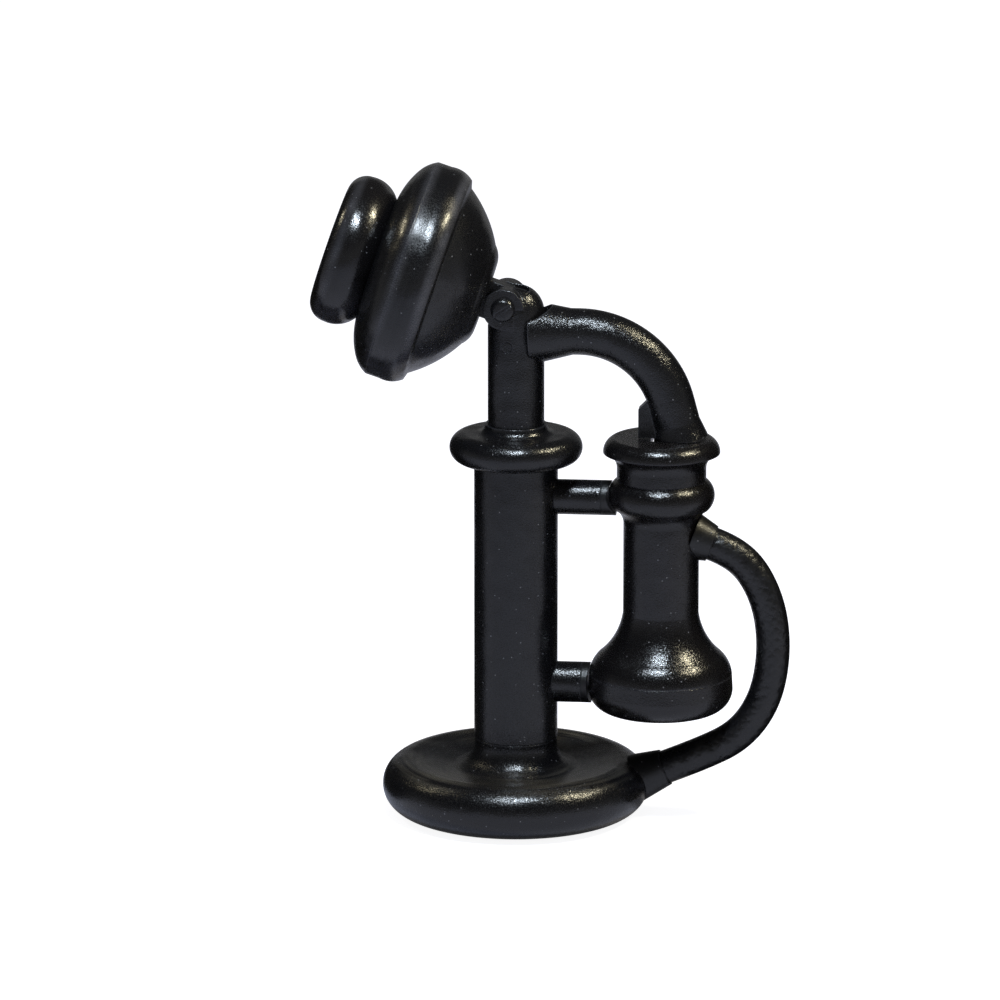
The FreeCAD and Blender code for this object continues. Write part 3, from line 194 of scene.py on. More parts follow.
class TelephoneColours(bpy.types.PropertyGroup):
    """Colours of the finishes."""

    enamel: colour_setting("Enamel", "Black of the enamelled castings", "#0d0d0f")
    # the rubbed grey also paints the highlights on the transmitter's ridges and the floor's reflection under
    # it
    rubbed_and_sheen: colour_setting("Rubbed edges", "Grey of enamel that hands have rubbed", "#48484d")
    # the strokes' warm grey also paints a warm sheen on the top of the base
    brushed_with_sheen: colour_setting("Brush strokes", "Warm grey of the strokes left on the base", "#5c5850")
    dust: colour_setting("Specks", "Pale specks that lie in the black", "#66666a")
    ebonite: colour_setting("Hard rubber", "Black of the receiver and mouthpiece", "#0e0d0e")
    rubber: colour_setting("Soft rubber", "Black of the bumpers and sleeves", "#0c0c0d")
    braid: colour_setting("Braid", "Black of the lacquered cord", "#0d0d0f")
    felt: colour_setting("Felt", "Near-black of the pad under the base", "#1c1c1f")
    steel: colour_setting("Steel", "Plain steel of plates and screws", "#b4b5b6")
    brass: colour_setting("Brass", "Brass of contacts and terminals", "#c8a45c")
    fibre: colour_setting("Fibre board", "Red-brown insulating board", "#56301f")
    aluminium: colour_setting("Aluminium", "Bright diaphragm sheet", "#d6d7d9")
    silk: colour_setting("Silk", "Green silk of the coil wire", "#41603a")
    paper: colour_setting("Floor", "Pale paper that the telephone stands on", "#acaec0")


class TelephoneSizes(bpy.types.PropertyGroup):
    """Sizes of patterns and of the pieces that are made here."""

    grain: length_setting("Grain", "Width of the casting's sand grain", 0.55)
    nib_spacing: length_setting("Nibs", "Spacing of the specks that stand proud in the enamel", 1.9)
    dents: length_setting("Dents", "Width of the casting's slow unevenness", 13.0)
    soft_edge: length_setting("Soft edge", "Radius that enamel gives to an edge", 1.0)
    cord: length_setting("Cord", "Diameter of the receiver cord", 15.0)
    braid_pitch: length_setting("Braid pitch", "Length of one diamond of the braid along the cord", 4.6)
    felt_edge: length_setting("Felt edge", "Rounding of the felt's cut edge", 0.4)
    slot_width: length_setting("Screw slot", "Width of the slot in a screw head", 1.1)
    slot_depth: length_setting("Slot depth", "Depth of the slot in a screw head", 0.6)


class TelephoneStage(bpy.types.PropertyGroup):
    """Camera and lamps."""

    turn: angle_setting("Camera turn", "How far the camera stands round to the right", 5.36)
    rise: angle_setting("Camera rise", "How high the camera looks down from", 14.29)
    distance: length_setting("Camera distance", "From the camera to the telephone", 3320.0)
    lens: bpy.props.FloatProperty(name="Lens", description="Focal length for a 36 mm sensor",
                                  subtype="DISTANCE_CAMERA", unit="CAMERA", default=269.82)
    key: power_setting("Key lamp", "Cool lamp above and in front", 9.0)
    fill: power_setting("Side lamps", "Warm lamps to the left and right", 7.0)


def add(tree, kind, settings=None, links=None):
    """Add a node, set its inputs or its own settings, and link its inputs."""
    made = tree.nodes.new(kind)
    for name, value in (settings or {}).items():
        if isinstance(name, int) or name in made.inputs.keys():
            made.inputs[name].default_value = value
        else:
            setattr(made, name, value)
    for name, socket in (links or {}).items():
        tree.links.new(socket, made.inputs[name])
    return made


def new_finish(name, **constants):
    """Start a material whose shader has the values that are the same all over the surface."""
    material = bpy.data.materials.new(name)
    material.use_nodes = True
    tree = material.node_tree
    tree.nodes.clear()
    shader = add(tree, "ShaderNodeBsdfPrincipled", {key.replace("_", " "): value
                                                    for key, value in constants.items()})
    add(tree, "ShaderNodeOutputMaterial", links={"Surface": shader.outputs["BSDF"]})
    return material, tree, shader


def per(length):
    """The pattern scale that repeats once in this many metres."""
    return 1.0 / length


def grained_finish(name, colour, grain_depth, dent_depth, gloss, wear):
    """A finish over a slightly rough body: soft edges, grain, slow dents, pale specks and rubbed edges."""
    sizes = bpy.context.scene.telephone_sizes
    colours = bpy.context.scene.telephone_colours
    material, tree, shader = new_finish(name, IOR=1.5)
    place = add(tree, "ShaderNodeTexCoord").outputs["Object"]
    edge = add(tree, "ShaderNodeBevel", {"samples": 6, "Radius": sizes.soft_edge})
    dents = add(tree, "ShaderNodeTexNoise", {"Scale": per(sizes.dents), "Detail": 1.0}, {"Vector": place})
    grain = add(tree, "ShaderNodeTexNoise", {"Scale": per(sizes.grain), "Detail": 1.0, "Roughness": 0.6},
                {"Vector": place})
    cells = add(tree, "ShaderNodeTexVoronoi", {"Scale": per(sizes.nib_spacing)}, {"Vector": place})
    nibs = add(tree, "ShaderNodeMapRange",
               {"From Min": 0.08, "From Max": 0.3, "To Min": 1.0, "To Max": 0.0},
               {"Value": cells.outputs["Distance"]})
    dented = add(tree, "ShaderNodeBump", {"Strength": 1.0, "Distance": dent_depth * MM},
                 {"Height": dents.outputs[0], "Normal": edge.outputs[0]})
    grained = add(tree, "ShaderNodeBump", {"Strength": 1.0, "Distance": grain_depth * MM},
                  {"Height": grain.outputs[0], "Normal": dented.outputs[0]})
    nibbed = add(tree, "ShaderNodeBump", {"Strength": 1.0, "Distance": grain_depth * MM * NIB_SHARE},
                 {"Height": nibs.outputs[0], "Normal": grained.outputs[0]})
    rough = add(tree, "ShaderNodeMapRange",
                {"From Min": 0.35, "From Max": 0.65, "To Min": gloss[0], "To Max": gloss[1]},
                {"Value": grain.outputs[0]})
    shape = add(tree, "ShaderNodeNewGeometry")
    turned = add(tree, "ShaderNodeVectorMath", {"operation": "DOT_PRODUCT"},
                 {0: edge.outputs[0], 1: shape.outputs["Normal"]})
    ridge = add(tree, "ShaderNodeMapRange",
                {"From Min": 0.998, "From Max": 0.93, "To Min": 0.0, "To Max": wear},
                {"Value": turned.outputs["Value"]})
    patchy = add(tree, "ShaderNodeMath", {"operation": "MULTIPLY"},
                 {0: ridge.outputs[0], 1: dents.outputs[0]})
    tint = add(tree, "ShaderNodeMix", {"data_type": "RGBA", 6: colour, 7: colours.rubbed_and_sheen},
               {0: patchy.outputs[0]})
    # one nib in eight is bare enough to show as a pale speck
    chosen = add(tree, "ShaderNodeSeparateColor", links={0: cells.outputs["Color"]})
    few = add(tree, "ShaderNodeMapRange", {"From Min": 0.87, "From Max": 0.89},
              {"Value": chosen.outputs[0]})
    small = add(tree, "ShaderNodeMapRange",
                {"From Min": 0.1, "From Max": 0.2, "To Min": 1.0, "To Max": 0.0},
                {"Value": cells.outputs["Distance"]})
    bare = add(tree, "ShaderNodeMath", {"operation": "MULTIPLY"},
               {0: few.outputs[0], 1: small.outputs[0]})
    specked = add(tree, "ShaderNodeMix", {"data_type": "RGBA", 7: colours.dust},
                  {0: bare.outputs[0], 6: tint.outputs[2]})
    tree.links.new(specked.outputs[2], shader.inputs["Base Color"])
    tree.links.new(rough.outputs[0], shader.inputs["Roughness"])
    tree.links.new(nibbed.outputs[0], shader.inputs["Normal"])
    return material


def show_through(material, mask, colour):
    """Let a paler colour through a finish where the mask is high."""
    tree = material.node_tree
    shader = next(part for part in tree.nodes if part.type == "BSDF_PRINCIPLED")
    under = shader.inputs["Base Color"].links[0].from_socket
    tint = add(tree, "ShaderNodeMix", {"data_type": "RGBA", 7: colour}, {0: mask, 6: under})
    tree.links.new(tint.outputs[2], shader.inputs["Base Color"])


def rub_and_sheen_ridges(material, ridges):
    """Rub soft grey lines round the transmitter at depths along the axis, on the drum also painted ridge
    highlights, and grey its underside as a painted reflection of the floor.
    """
    tree = material.node_tree
    place = add(tree, "ShaderNodeTexCoord").outputs["Object"]
    lean = math.radians(TILT_ANGLE)
    axis = Vector((-math.cos(lean), 0.0, math.sin(lean)))
    along = add(tree, "ShaderNodeVectorMath", {"operation": "DOT_PRODUCT", 1: axis}, {0: place})
    start = axis.dot(Vector(TILT_PIVOT)) * MM
    patches = add(tree, "ShaderNodeTexNoise", {"Scale": per(RUB_AND_SHEEN_PATCH * MM), "Detail": 3.0},
                  {"Vector": place})
    shape = add(tree, "ShaderNodeNewGeometry")
    facing = add(tree, "ShaderNodeSeparateXYZ", links={0: shape.outputs["Normal"]})
    # greyed where it faces down: a painted reflection of the white floor
    rub_and_sheen = add(tree, "ShaderNodeMapRange",
               {"From Min": -0.3, "From Max": -0.8, "To Max": UNDERSIDE_REFLECTION},
               {"Value": facing.outputs["Z"]})
    # each line is rubbed grey, and on the drum it also stands for a painted highlight on a ridge
    for depth, width, strength in ridges:
        off = add(tree, "ShaderNodeMath", {"operation": "SUBTRACT", 1: start + depth * MM},
                  {0: along.outputs["Value"]})
        away = add(tree, "ShaderNodeMath", {"operation": "ABSOLUTE"}, {0: off.outputs[0]})
        line = add(tree, "ShaderNodeMapRange",
                   {"interpolation_type": "SMOOTHSTEP", "From Max": width * MM, "To Min": strength,
                    "To Max": 0.0},
                   {"Value": away.outputs[0]})
        rub_and_sheen = add(tree, "ShaderNodeMath", {"operation": "MAXIMUM"},
                   {0: rub_and_sheen.outputs[0], 1: line.outputs[0]})
    mask = add(tree, "ShaderNodeMath", {"operation": "MULTIPLY"},
               {0: rub_and_sheen.outputs[0], 1: patches.outputs[0]})
    show_through(material, mask.outputs[0], bpy.context.scene.telephone_colours.rubbed_and_sheen)


def brush_marks_and_sheen(material):
    """Leave patches of the enamel's brush strokes round the stem, on surfaces that face up; their warm grey
    is also a painted warm sheen.
    """
    tree = material.node_tree
    place = add(tree, "ShaderNodeTexCoord").outputs["Object"]
    across = add(tree, "ShaderNodeSeparateXYZ", links={0: place})
    front = add(tree, "ShaderNodeMath", {"operation": "MULTIPLY", 1: -1.0}, {0: across.outputs["Y"]})
    turn = add(tree, "ShaderNodeMath", {"operation": "ARCTAN2"},
               {0: across.outputs["X"], 1: front.outputs[0]})
    flat = add(tree, "ShaderNodeVectorMath", {"operation": "MULTIPLY", 1: (1.0, 1.0, 0.0)}, {0: place})
    out = add(tree, "ShaderNodeVectorMath", {"operation": "LENGTH"}, {0: flat.outputs[0]})
    along = add(tree, "ShaderNodeMath", {"operation": "MULTIPLY", 1: BRUSH_ROUND / math.tau},
                {0: turn.outputs[0]})
    aside = add(tree, "ShaderNodeMath", {"operation": "MULTIPLY", 1: per(BRUSH_WIDTH * MM)},
                {0: out.outputs["Value"]})
    stroke = add(tree, "ShaderNodeCombineXYZ", links={"X": along.outputs[0], "Y": aside.outputs[0]})
    marks = add(tree, "ShaderNodeTexNoise", {"Scale": 1.0, "Detail": 4.0, "Distortion": 0.3},
                {"Vector": stroke.outputs[0]})
    patches = add(tree, "ShaderNodeTexNoise", {"Scale": per(BRUSH_PATCH * MM), "Detail": 1.0},
                  {"Vector": place})
    shape = add(tree, "ShaderNodeNewGeometry")
    facing = add(tree, "ShaderNodeSeparateXYZ", links={0: shape.outputs["Normal"]})
    # only surfaces that face up take the strokes and their painted sheen
    upward = add(tree, "ShaderNodeMapRange", {"From Min": 0.6, "From Max": 0.95},
                 {"Value": facing.outputs["Z"]})
    streak = add(tree, "ShaderNodeMapRange", {"From Min": 0.4, "From Max": 0.8},
                 {"Value": marks.outputs[0]})
    patch = add(tree, "ShaderNodeMapRange",
                {"From Min": 0.35, "From Max": 0.65, "To Max": BRUSH_AND_SHEEN_STRENGTH},
                {"Value": patches.outputs[0]})
    there = add(tree, "ShaderNodeMath", {"operation": "MULTIPLY"},
                {0: patch.outputs[0], 1: upward.outputs[0]})
    mask = add(tree, "ShaderNodeMath", {"operation": "MULTIPLY"},
               {0: streak.outputs[0], 1: there.outputs[0]})
    show_through(material, mask.outputs[0], bpy.context.scene.telephone_colours.brushed_with_sheen)


def metal(name, colour, roughness, grain_width):
    """Bare metal with a fine directionless drawn or tumbled grain in its shine."""
    material, tree, shader = new_finish(name, Base_Color=colour, Metallic=1.0)
    place = add(tree, "ShaderNodeTexCoord").outputs["Object"]
    grain = add(tree, "ShaderNodeTexNoise", {"Scale": per(grain_width * MM), "Detail": 3.0},
                {"Vector": place})
    rough = add(tree, "ShaderNodeMapRange", {"To Min": roughness * 0.7, "To Max": roughness * 1.3},
                {"Value": grain.outputs[0]})
    bump = add(tree, "ShaderNodeBump", {"Strength": 0.3, "Distance": METAL_DEPTH * MM},
               {"Height": grain.outputs[0]})
    tree.links.new(rough.outputs[0], shader.inputs["Roughness"])
    tree.links.new(bump.outputs[0], shader.inputs["Normal"])
    return material


def dress(material, *names):
    """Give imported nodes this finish."""
    for name in names:
        NODES[name].data.materials.clear()
        NODES[name].data.materials.append(material)


def place_piece(name, data, material, slot, *replaced):
    """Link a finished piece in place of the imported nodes."""
    piece = bpy.data.objects.new(name, data)
    bpy.context.scene.collection.objects.link(piece)
    data.materials.clear()
    data.materials.append(material)
    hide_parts(*replaced)
    return piece


def settled_mesh(data, *modifiers):
    """The mesh that a curve or a mesh gives once its modifiers have worked on it."""
    thing = bpy.data.objects.new(data.name, data)
    bpy.context.scene.collection.objects.link(thing)
    for kind, settings in modifiers:
        modifier = thing.modifiers.new(kind.lower(), kind)
        for name, value in settings.items():
            setattr(modifier, name, value)
    mesh = bpy.data.meshes.new_from_object(thing.evaluated_get(bpy.context.evaluated_depsgraph_get()))
    bpy.data.objects.remove(thing)
    return mesh


def carved(blank, blade):
    """A mesh with the shape of another cut out of it."""
    tool = bpy.data.objects.new("blade", blade)
    bpy.context.scene.collection.objects.link(tool)
    cut = settled_mesh(blank, ("BOOLEAN", {"operation": "DIFFERENCE", "object": tool}))
    bpy.data.objects.remove(tool)
    return cut


def shade(mesh):
    """Shade a mesh smooth, and keep its corners sharp."""
    mesh.shade_smooth()
    mesh.set_sharp_from_angle(angle=math.radians(SMOOTH_BELOW))


class TELEPHONE_OT_cord(bpy.types.Operator):
    """Hang the braided cord from the receiver to the base"""

    bl_idname = "telephone.cord"
    bl_label = "Receiver cord"

    def braid(self):
        """Cotton braid under black lacquer: low crossing strands that catch broken glints."""
        sizes = bpy.context.scene.telephone_sizes
        colours = bpy.context.scene.telephone_colours
        material, tree, shader = new_finish("lacquered_cotton_braid", Base_Color=colours.braid, IOR=1.5)
        where = add(tree, "ShaderNodeTexCoord")
        place = where.outputs["Object"]
        run = add(tree, "ShaderNodeSeparateXYZ", links={0: where.outputs["UV"]})
        diamonds = CORD_LENGTH * MM / sizes.braid_pitch
        climb = add(tree, "ShaderNodeMath", {"operation": "MULTIPLY", 1: math.pi * diamonds},
                    {0: run.outputs["X"]})
        strands = []
        for way in (-1.0, 1.0):
            wound = add(tree, "ShaderNodeMath",
                        {"operation": "MULTIPLY_ADD", 1: math.pi * BRAID_STRANDS * way},
                        {0: run.outputs["Y"], 2: climb.outputs[0]})
            strands.append(add(tree, "ShaderNodeMath", {"operation": "SINE"}, {0: wound.outputs[0]}))
        braid = add(tree, "ShaderNodeMath", {"operation": "MULTIPLY"},
                    {0: strands[0].outputs[0], 1: strands[1].outputs[0]})
        plait = add(tree, "ShaderNodeMath", {"operation": "ABSOLUTE"}, {0: braid.outputs[0]})
        lumps = add(tree, "ShaderNodeTexNoise", {"Scale": per(LUMP_WIDTH * MM), "Detail": 2.0},
                    {"Vector": place})
        grain = add(tree, "ShaderNodeTexNoise", {"Scale": per(sizes.grain), "Detail": 2.0},
                    {"Vector": place})
        rough = add(tree, "ShaderNodeMapRange",
                    {"From Min": 0.3, "From Max": 0.7, "To Min": 0.24, "To Max": 0.4},
                    {"Value": lumps.outputs[0]})
        lumpy = add(tree, "ShaderNodeBump", {"Strength": 1.0, "Distance": LUMP_DEPTH * MM},
                    {"Height": lumps.outputs[0]})
        plaited = add(tree, "ShaderNodeBump", {"Strength": 1.0, "Distance": PLAIT_DEPTH * MM},
                      {"Height": plait.outputs[0], "Normal": lumpy.outputs[0]})
        bump = add(tree, "ShaderNodeBump", {"Strength": 1.0, "Distance": CORD_GRAIN_DEPTH * MM},
                   {"Height": grain.outputs[0], "Normal": plaited.outputs[0]})
        tree.links.new(rough.outputs[0], shader.inputs["Roughness"])
        tree.links.new(bump.outputs[0], shader.inputs["Normal"])
        return material

    def line(self, points, diameter):
        """A smooth line through the cord's route, with a round tube on it if it has a diameter."""
        curve = bpy.data.curves.new("cord_line", "CURVE")
        curve.dimensions = "3D"
        curve.resolution_u = 16
        curve.render_resolution_u = 16
        curve.bevel_depth = diameter / 2
        curve.bevel_resolution = 8
        curve.use_fill_caps = True
        line = curve.splines.new("NURBS")
        line.points.add(len(points) - 1)
        for knot, point in zip(line.points, points):
            knot.co = (*point, 1.0)
        line.order_u = 3
        line.use_endpoint_u = True
        return curve

    def execute(self, context):
        sizes = context.scene.telephone_sizes
        points = [(across * MM, 0.0, up * MM) for across, up in CORD_ROUTE]
        tube = settled_mesh(self.line(points, sizes.cord))
        middle = settled_mesh(self.line(points, 0.0))
        cord = place_piece("receiver_cord_braided", tube, self.braid(), "cord_braid", "receiver_cord")
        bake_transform(cord)
        return {"FINISHED"}


class TELEPHONE_OT_castings(bpy.types.Operator):
    """Enamel the base, stem, neck, arm and rest pegs"""

    bl_idname = "telephone.castings"
    bl_label = "Castings"

    def execute(self, context):
        colours = context.scene.telephone_colours
        # Stoved enamel on cast iron: wet black gloss that the sand grain breaks into small glints
        enamel = grained_finish("stoved_enamel_on_cast_iron", colours.enamel, grain_depth=0.1,
                                dent_depth=0.7, gloss=(0.1, 0.34), wear=0.7)
        dress(enamel, "stem_collar", "upper_rest_peg", "lower_rest_peg", "hook_pivot_pin",
              "transmitter_nut")
        # The same enamel over rougher sand castings, where pits and lumps scatter the shine
        rough = grained_finish("stoved_enamel_on_sand_casting", colours.enamel, grain_depth=0.15,
                               dent_depth=1.1, gloss=(0.1, 0.34), wear=0.8)
        dress(rough, "neck_post", "hook_arm")
        # The same enamel brushed over the base, with its strokes left on the top, their warm grey also a
        # painted sheen
        brushed_with_sheen = grained_finish("brushed_enamel_with_painted_sheen", colours.enamel, grain_depth=0.1,
                                 dent_depth=0.5, gloss=(0.1, 0.36), wear=0.5)
        brush_marks_and_sheen(brushed_with_sheen)
        dress(brushed_with_sheen, "base_shell")
        # Enamelled drawn tube: the same black, with less grain and a straighter shine
        tube = grained_finish("stoved_enamel_on_drawn_tube", colours.enamel, grain_depth=0.06,
                              dent_depth=0.5, gloss=(0.16, 0.36), wear=0.5)
        dress(tube, "stem_tube")
        return {"FINISHED"}


class TELEPHONE_OT_transmitter(bpy.types.Operator):
    """Finish the transmitter and its mouthpiece"""

    bl_idname = "telephone.transmitter"
    bl_label = "Transmitter"

    def execute(self, context):
        colours = context.scene.telephone_colours
        # Japanned spun brass: smooth black lacquer, rubbed grey along its ridges, where the grey also paints
        # their highlights, and its underside greyed as a painted reflection of the floor
        japan = grained_finish("japanned_spun_brass", colours.enamel, grain_depth=0.05, dent_depth=0.8,
                               gloss=(0.17, 0.36), wear=0.8)
        rub_and_sheen_ridges(japan, DRUM_RIDGES)
        dress(japan, "transmitter_cup", "transmitter_face")
        # Moulded hard rubber: close black with a duller, handled shine, rubbed grey lines, and an underside
        # greyed as a painted reflection of the floor
        ebonite = grained_finish("moulded_hard_rubber", colours.ebonite, grain_depth=0.05, dent_depth=0.8,
                                 gloss=(0.12, 0.3), wear=0.8)
        rub_and_sheen_ridges(ebonite, MOUTH_RIDGES)
        dress(ebonite, "mouthpiece")
        return {"FINISHED"}


class TELEPHONE_OT_receiver(bpy.types.Operator):
    """Finish the receiver, the rubber bumpers and the cord sleeves"""

    bl_idname = "telephone.receiver"
    bl_label = "Receiver"

    def execute(self, context):
        colours = context.scene.telephone_colours
        # Turned hard rubber: polished black with a lively pebbled shine on the bell
        ebonite = grained_finish("turned_hard_rubber", colours.ebonite, grain_depth=0.1, dent_depth=0.6,
                                 gloss=(0.09, 0.32), wear=0.8)
        dress(ebonite, "receiver_cap", "receiver_shell", "ear_cap")
        # Soft rubber: the same black, but its shine is broad and dull
        rubber = grained_finish("vulcanised_soft_rubber", colours.rubber, grain_depth=0.08, dent_depth=0.4,
                                gloss=(0.3, 0.45), wear=0.3)
        dress(rubber, "receiver_cord_bush", "base_cord_sleeve", "upper_rest_pad", "lower_rest_pad",
              "diaphragm_gasket")
        return {"FINISHED"}


class TELEPHONE_OT_bumpers(bpy.types.Operator):
    """Mould the rubber bumpers, each hollowed to the receiver's side"""

    bl_idname = "telephone.bumpers"
    bl_label = "Bumpers"

    def rod(self, name, radius, length, place):
        """A round rod with its middle at this place."""
        shape = bmesh.new()
        bmesh.ops.create_cone(shape, cap_ends=True, segments=BUMPER_STEPS, radius1=radius, radius2=radius,
                              depth=length, matrix=place)
        mesh = bpy.data.meshes.new(name)
        shape.to_mesh(mesh)
        shape.free()
        return mesh

    def execute(self, context):
        rubber = bpy.data.materials["vulcanised_soft_rubber"]
        for node, lift, hollow in BUMPER_HOLLOWS:
            low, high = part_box(node)
            radius = (high.z - low.z) / 2
            length = high.x - low.x + BUMPER_LIP * MM
            up = (high.z + low.z) / 2
            middle = Matrix.Translation((low.x + length / 2, 0.0, up))
            axis = high.x + (BUMPER_ADVANCE + hollow) * MM
            beside = Matrix.Translation((axis, 0.0, up + lift * MM))
            blank = self.rod(node + "_blank", radius, length, middle @ Matrix.Rotation(math.pi / 2, 4, "Y"))
            former = self.rod(node + "_former", hollow * MM, radius * 3.0,
                              beside @ Matrix.Rotation(math.pi / 2, 4, "X"))
            mesh = carved(blank, former)
            shade(mesh)
            piece = place_piece(node + "_hollowed", mesh, rubber, "soft_rubber", node)
            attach(piece, "stand")
        return {"FINISHED"}


class TELEPHONE_OT_felt(bpy.types.Operator):
    """Lay the felt pad under the base"""

    bl_idname = "telephone.felt"
    bl_label = "Base felt"

    def wool(self):
        """Pressed wool felt: no shine, fuzzy, with short fibres that lie every way."""
        colours = bpy.context.scene.telephone_colours
        material, tree, shader = new_finish("pressed_wool_felt", Roughness=0.95, Sheen_Weight=0.3)
        place = add(tree, "ShaderNodeTexCoord").outputs["Object"]
        fibres = add(tree, "ShaderNodeTexNoise",
                     {"Scale": per(FELT_FIBRE * MM), "Detail": 4.0, "Distortion": 2.0}, {"Vector": place})
        tint = add(tree, "ShaderNodeMix", {"data_type": "RGBA", 6: linear("#111113"), 7: colours.felt},
                   {0: fibres.outputs[0]})
        bump = add(tree, "ShaderNodeBump", {"Strength": 1.0, "Distance": FELT_DEPTH * MM},
                   {"Height": fibres.outputs[0]})
        tree.links.new(tint.outputs[2], shader.inputs["Base Color"])
        tree.links.new(bump.outputs[0], shader.inputs["Normal"])
        return material

    def execute(self, context):
        sizes = context.scene.telephone_sizes
        shape = bmesh.new()
        shape.from_mesh(NODES["base_felt"].data)
        bmesh.ops.remove_doubles(shape, verts=shape.verts, dist=0.01 * MM)
        bmesh.ops.dissolve_limit(shape, angle_limit=math.radians(1.0), verts=shape.verts,
                                 edges=shape.edges)
        rims = [edge for edge in shape.edges
                if edge.is_manifold and edge.calc_face_angle() > math.radians(60)]
        bmesh.ops.bevel(shape, geom=rims, offset=sizes.felt_edge, segments=2, profile=0.5,
                        affect="EDGES", material=-1)
        mesh = bpy.data.meshes.new("base_felt_pressed")
        shape.to_mesh(mesh)
        shape.free()
        felt = place_piece("base_felt_pressed", mesh, self.wool(), "felt", "base_felt")
        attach(felt, "stand")
        return {"FINISHED"}


class TELEPHONE_OT_fasteners(bpy.types.Operator):
    """Turn and slot the pivot bolt and the base plate screws"""

    bl_idname = "telephone.fasteners"
    bl_label = "Slotted screws"

    def turned(self, head_radius, head_height, shank_radius, shank_length):
        """A round-headed screw on its seat at the origin, head up, spun from its half outline."""
        shape = bmesh.new()
        outline = ((0.0, -shank_length), (shank_radius, -shank_length), (shank_radius, 0.0),
                   (head_radius, 0.0), (head_radius, head_height), (0.0, head_height))
        corners = [shape.verts.new((across, 0.0, up)) for across, up in outline]
        edges = [shape.edges.new(pair) for pair in zip(corners, corners[1:])]
        bmesh.ops.spin(shape, geom=corners + edges, axis=(0.0, 0.0, 1.0), cent=(0.0, 0.0, 0.0),
                       angle=math.tau, steps=SCREW_STEPS, use_merge=True)
        bmesh.ops.remove_doubles(shape, verts=shape.verts, dist=0.001 * MM)
        bmesh.ops.recalc_face_normals(shape, faces=shape.faces)
        rim = [edge for edge in shape.edges
               if all(vert.co.z > head_height * 0.99 and vert.co.xy.length > head_radius * 0.99
                      for vert in edge.verts)]
        bmesh.ops.bevel(shape, geom=rim, offset=head_height * HEAD_DOME, segments=5, profile=0.5,
                        affect="EDGES", material=-1)
        mesh = bpy.data.meshes.new("turned_screw")
        shape.to_mesh(mesh)
        shape.free()
        return mesh

    def sawn(self, blank, head_radius, head_height):
        """Saw the slot across a screw's head."""
        sizes = bpy.context.scene.telephone_sizes
        saw = bmesh.new()
        bmesh.ops.create_cube(saw, size=1.0)
        bmesh.ops.scale(saw, vec=(head_radius * 3.0, sizes.slot_width, sizes.slot_depth * 2.0),
                        verts=saw.verts)
        bmesh.ops.translate(saw, vec=(0.0, 0.0, head_height), verts=saw.verts)
        blade = bpy.data.meshes.new("saw_blade")
        saw.to_mesh(blade)
        saw.free()
        return carved(blank, blade)

    def gathered(self, name, screw, places):
        """One mesh that holds the screw at each of its places."""
        shape = bmesh.new()
        for place in places:
            before = len(shape.verts)
            shape.from_mesh(screw)
            shape.verts.ensure_lookup_table()
            bmesh.ops.transform(shape, matrix=place, verts=shape.verts[before:])
        mesh = bpy.data.meshes.new(name)
        shape.to_mesh(mesh)
        shape.free()
        shade(mesh)
        return mesh

    def execute(self, context):
        low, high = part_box("transmitter_bolt")
        middle = (low + high) / 2
        radius = (high.x - low.x) / 2
        bolt = self.turned(radius, BOLT_HEAD * MM, BOLT_SHANK * MM, high.y - low.y - BOLT_HEAD * MM)
        facing = Matrix.Rotation(math.radians(90.0), 4, "X")
        slot = Matrix.Rotation(math.radians(BOLT_SLOT_TURN), 4, "Z")
        seat = Matrix.Translation((middle.x, low.y + BOLT_HEAD * MM, middle.z)) @ (facing @ slot)
        mesh = self.gathered("transmitter_bolt_slotted", self.sawn(bolt, radius, BOLT_HEAD * MM), [seat])
        enamel = bpy.data.materials["stoved_enamel_on_cast_iron"]
        piece = place_piece("transmitter_bolt_slotted", mesh, enamel, "steel", "transmitter_bolt")
        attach(piece, "stand")

        low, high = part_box("base_plate_screws")
        ring = -low.x - PLATE_SCREW_RADIUS * MM
        screw = self.turned(PLATE_SCREW_RADIUS * MM, PLATE_SCREW_HEAD * MM, PLATE_SCREW_SHANK * MM,
                            high.z - low.z - PLATE_SCREW_HEAD * MM)
        seats = []
        over = Matrix.Rotation(math.radians(180.0), 4, "X")
        out = Matrix.Translation((ring, 0.0, low.z + PLATE_SCREW_HEAD * MM))
        for turn in PLATE_SCREW_TURNS:
            around = Matrix.Rotation(math.radians(turn), 4, "Z")
            slot = Matrix.Rotation(math.radians(turn * PLATE_SLOT_TURN), 4, "Z")
            seats.append(around @ out @ (over @ slot))
        sawn = self.sawn(screw, PLATE_SCREW_RADIUS * MM, PLATE_SCREW_HEAD * MM)
        mesh = self.gathered("base_plate_screws_slotted", sawn, seats)
        steel = bpy.data.materials["rolled_mild_steel"]
        piece = place_piece("base_plate_screws_slotted", mesh, steel, "steel", "base_plate_screws")
        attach(piece, "stand")
        return {"FINISHED"}


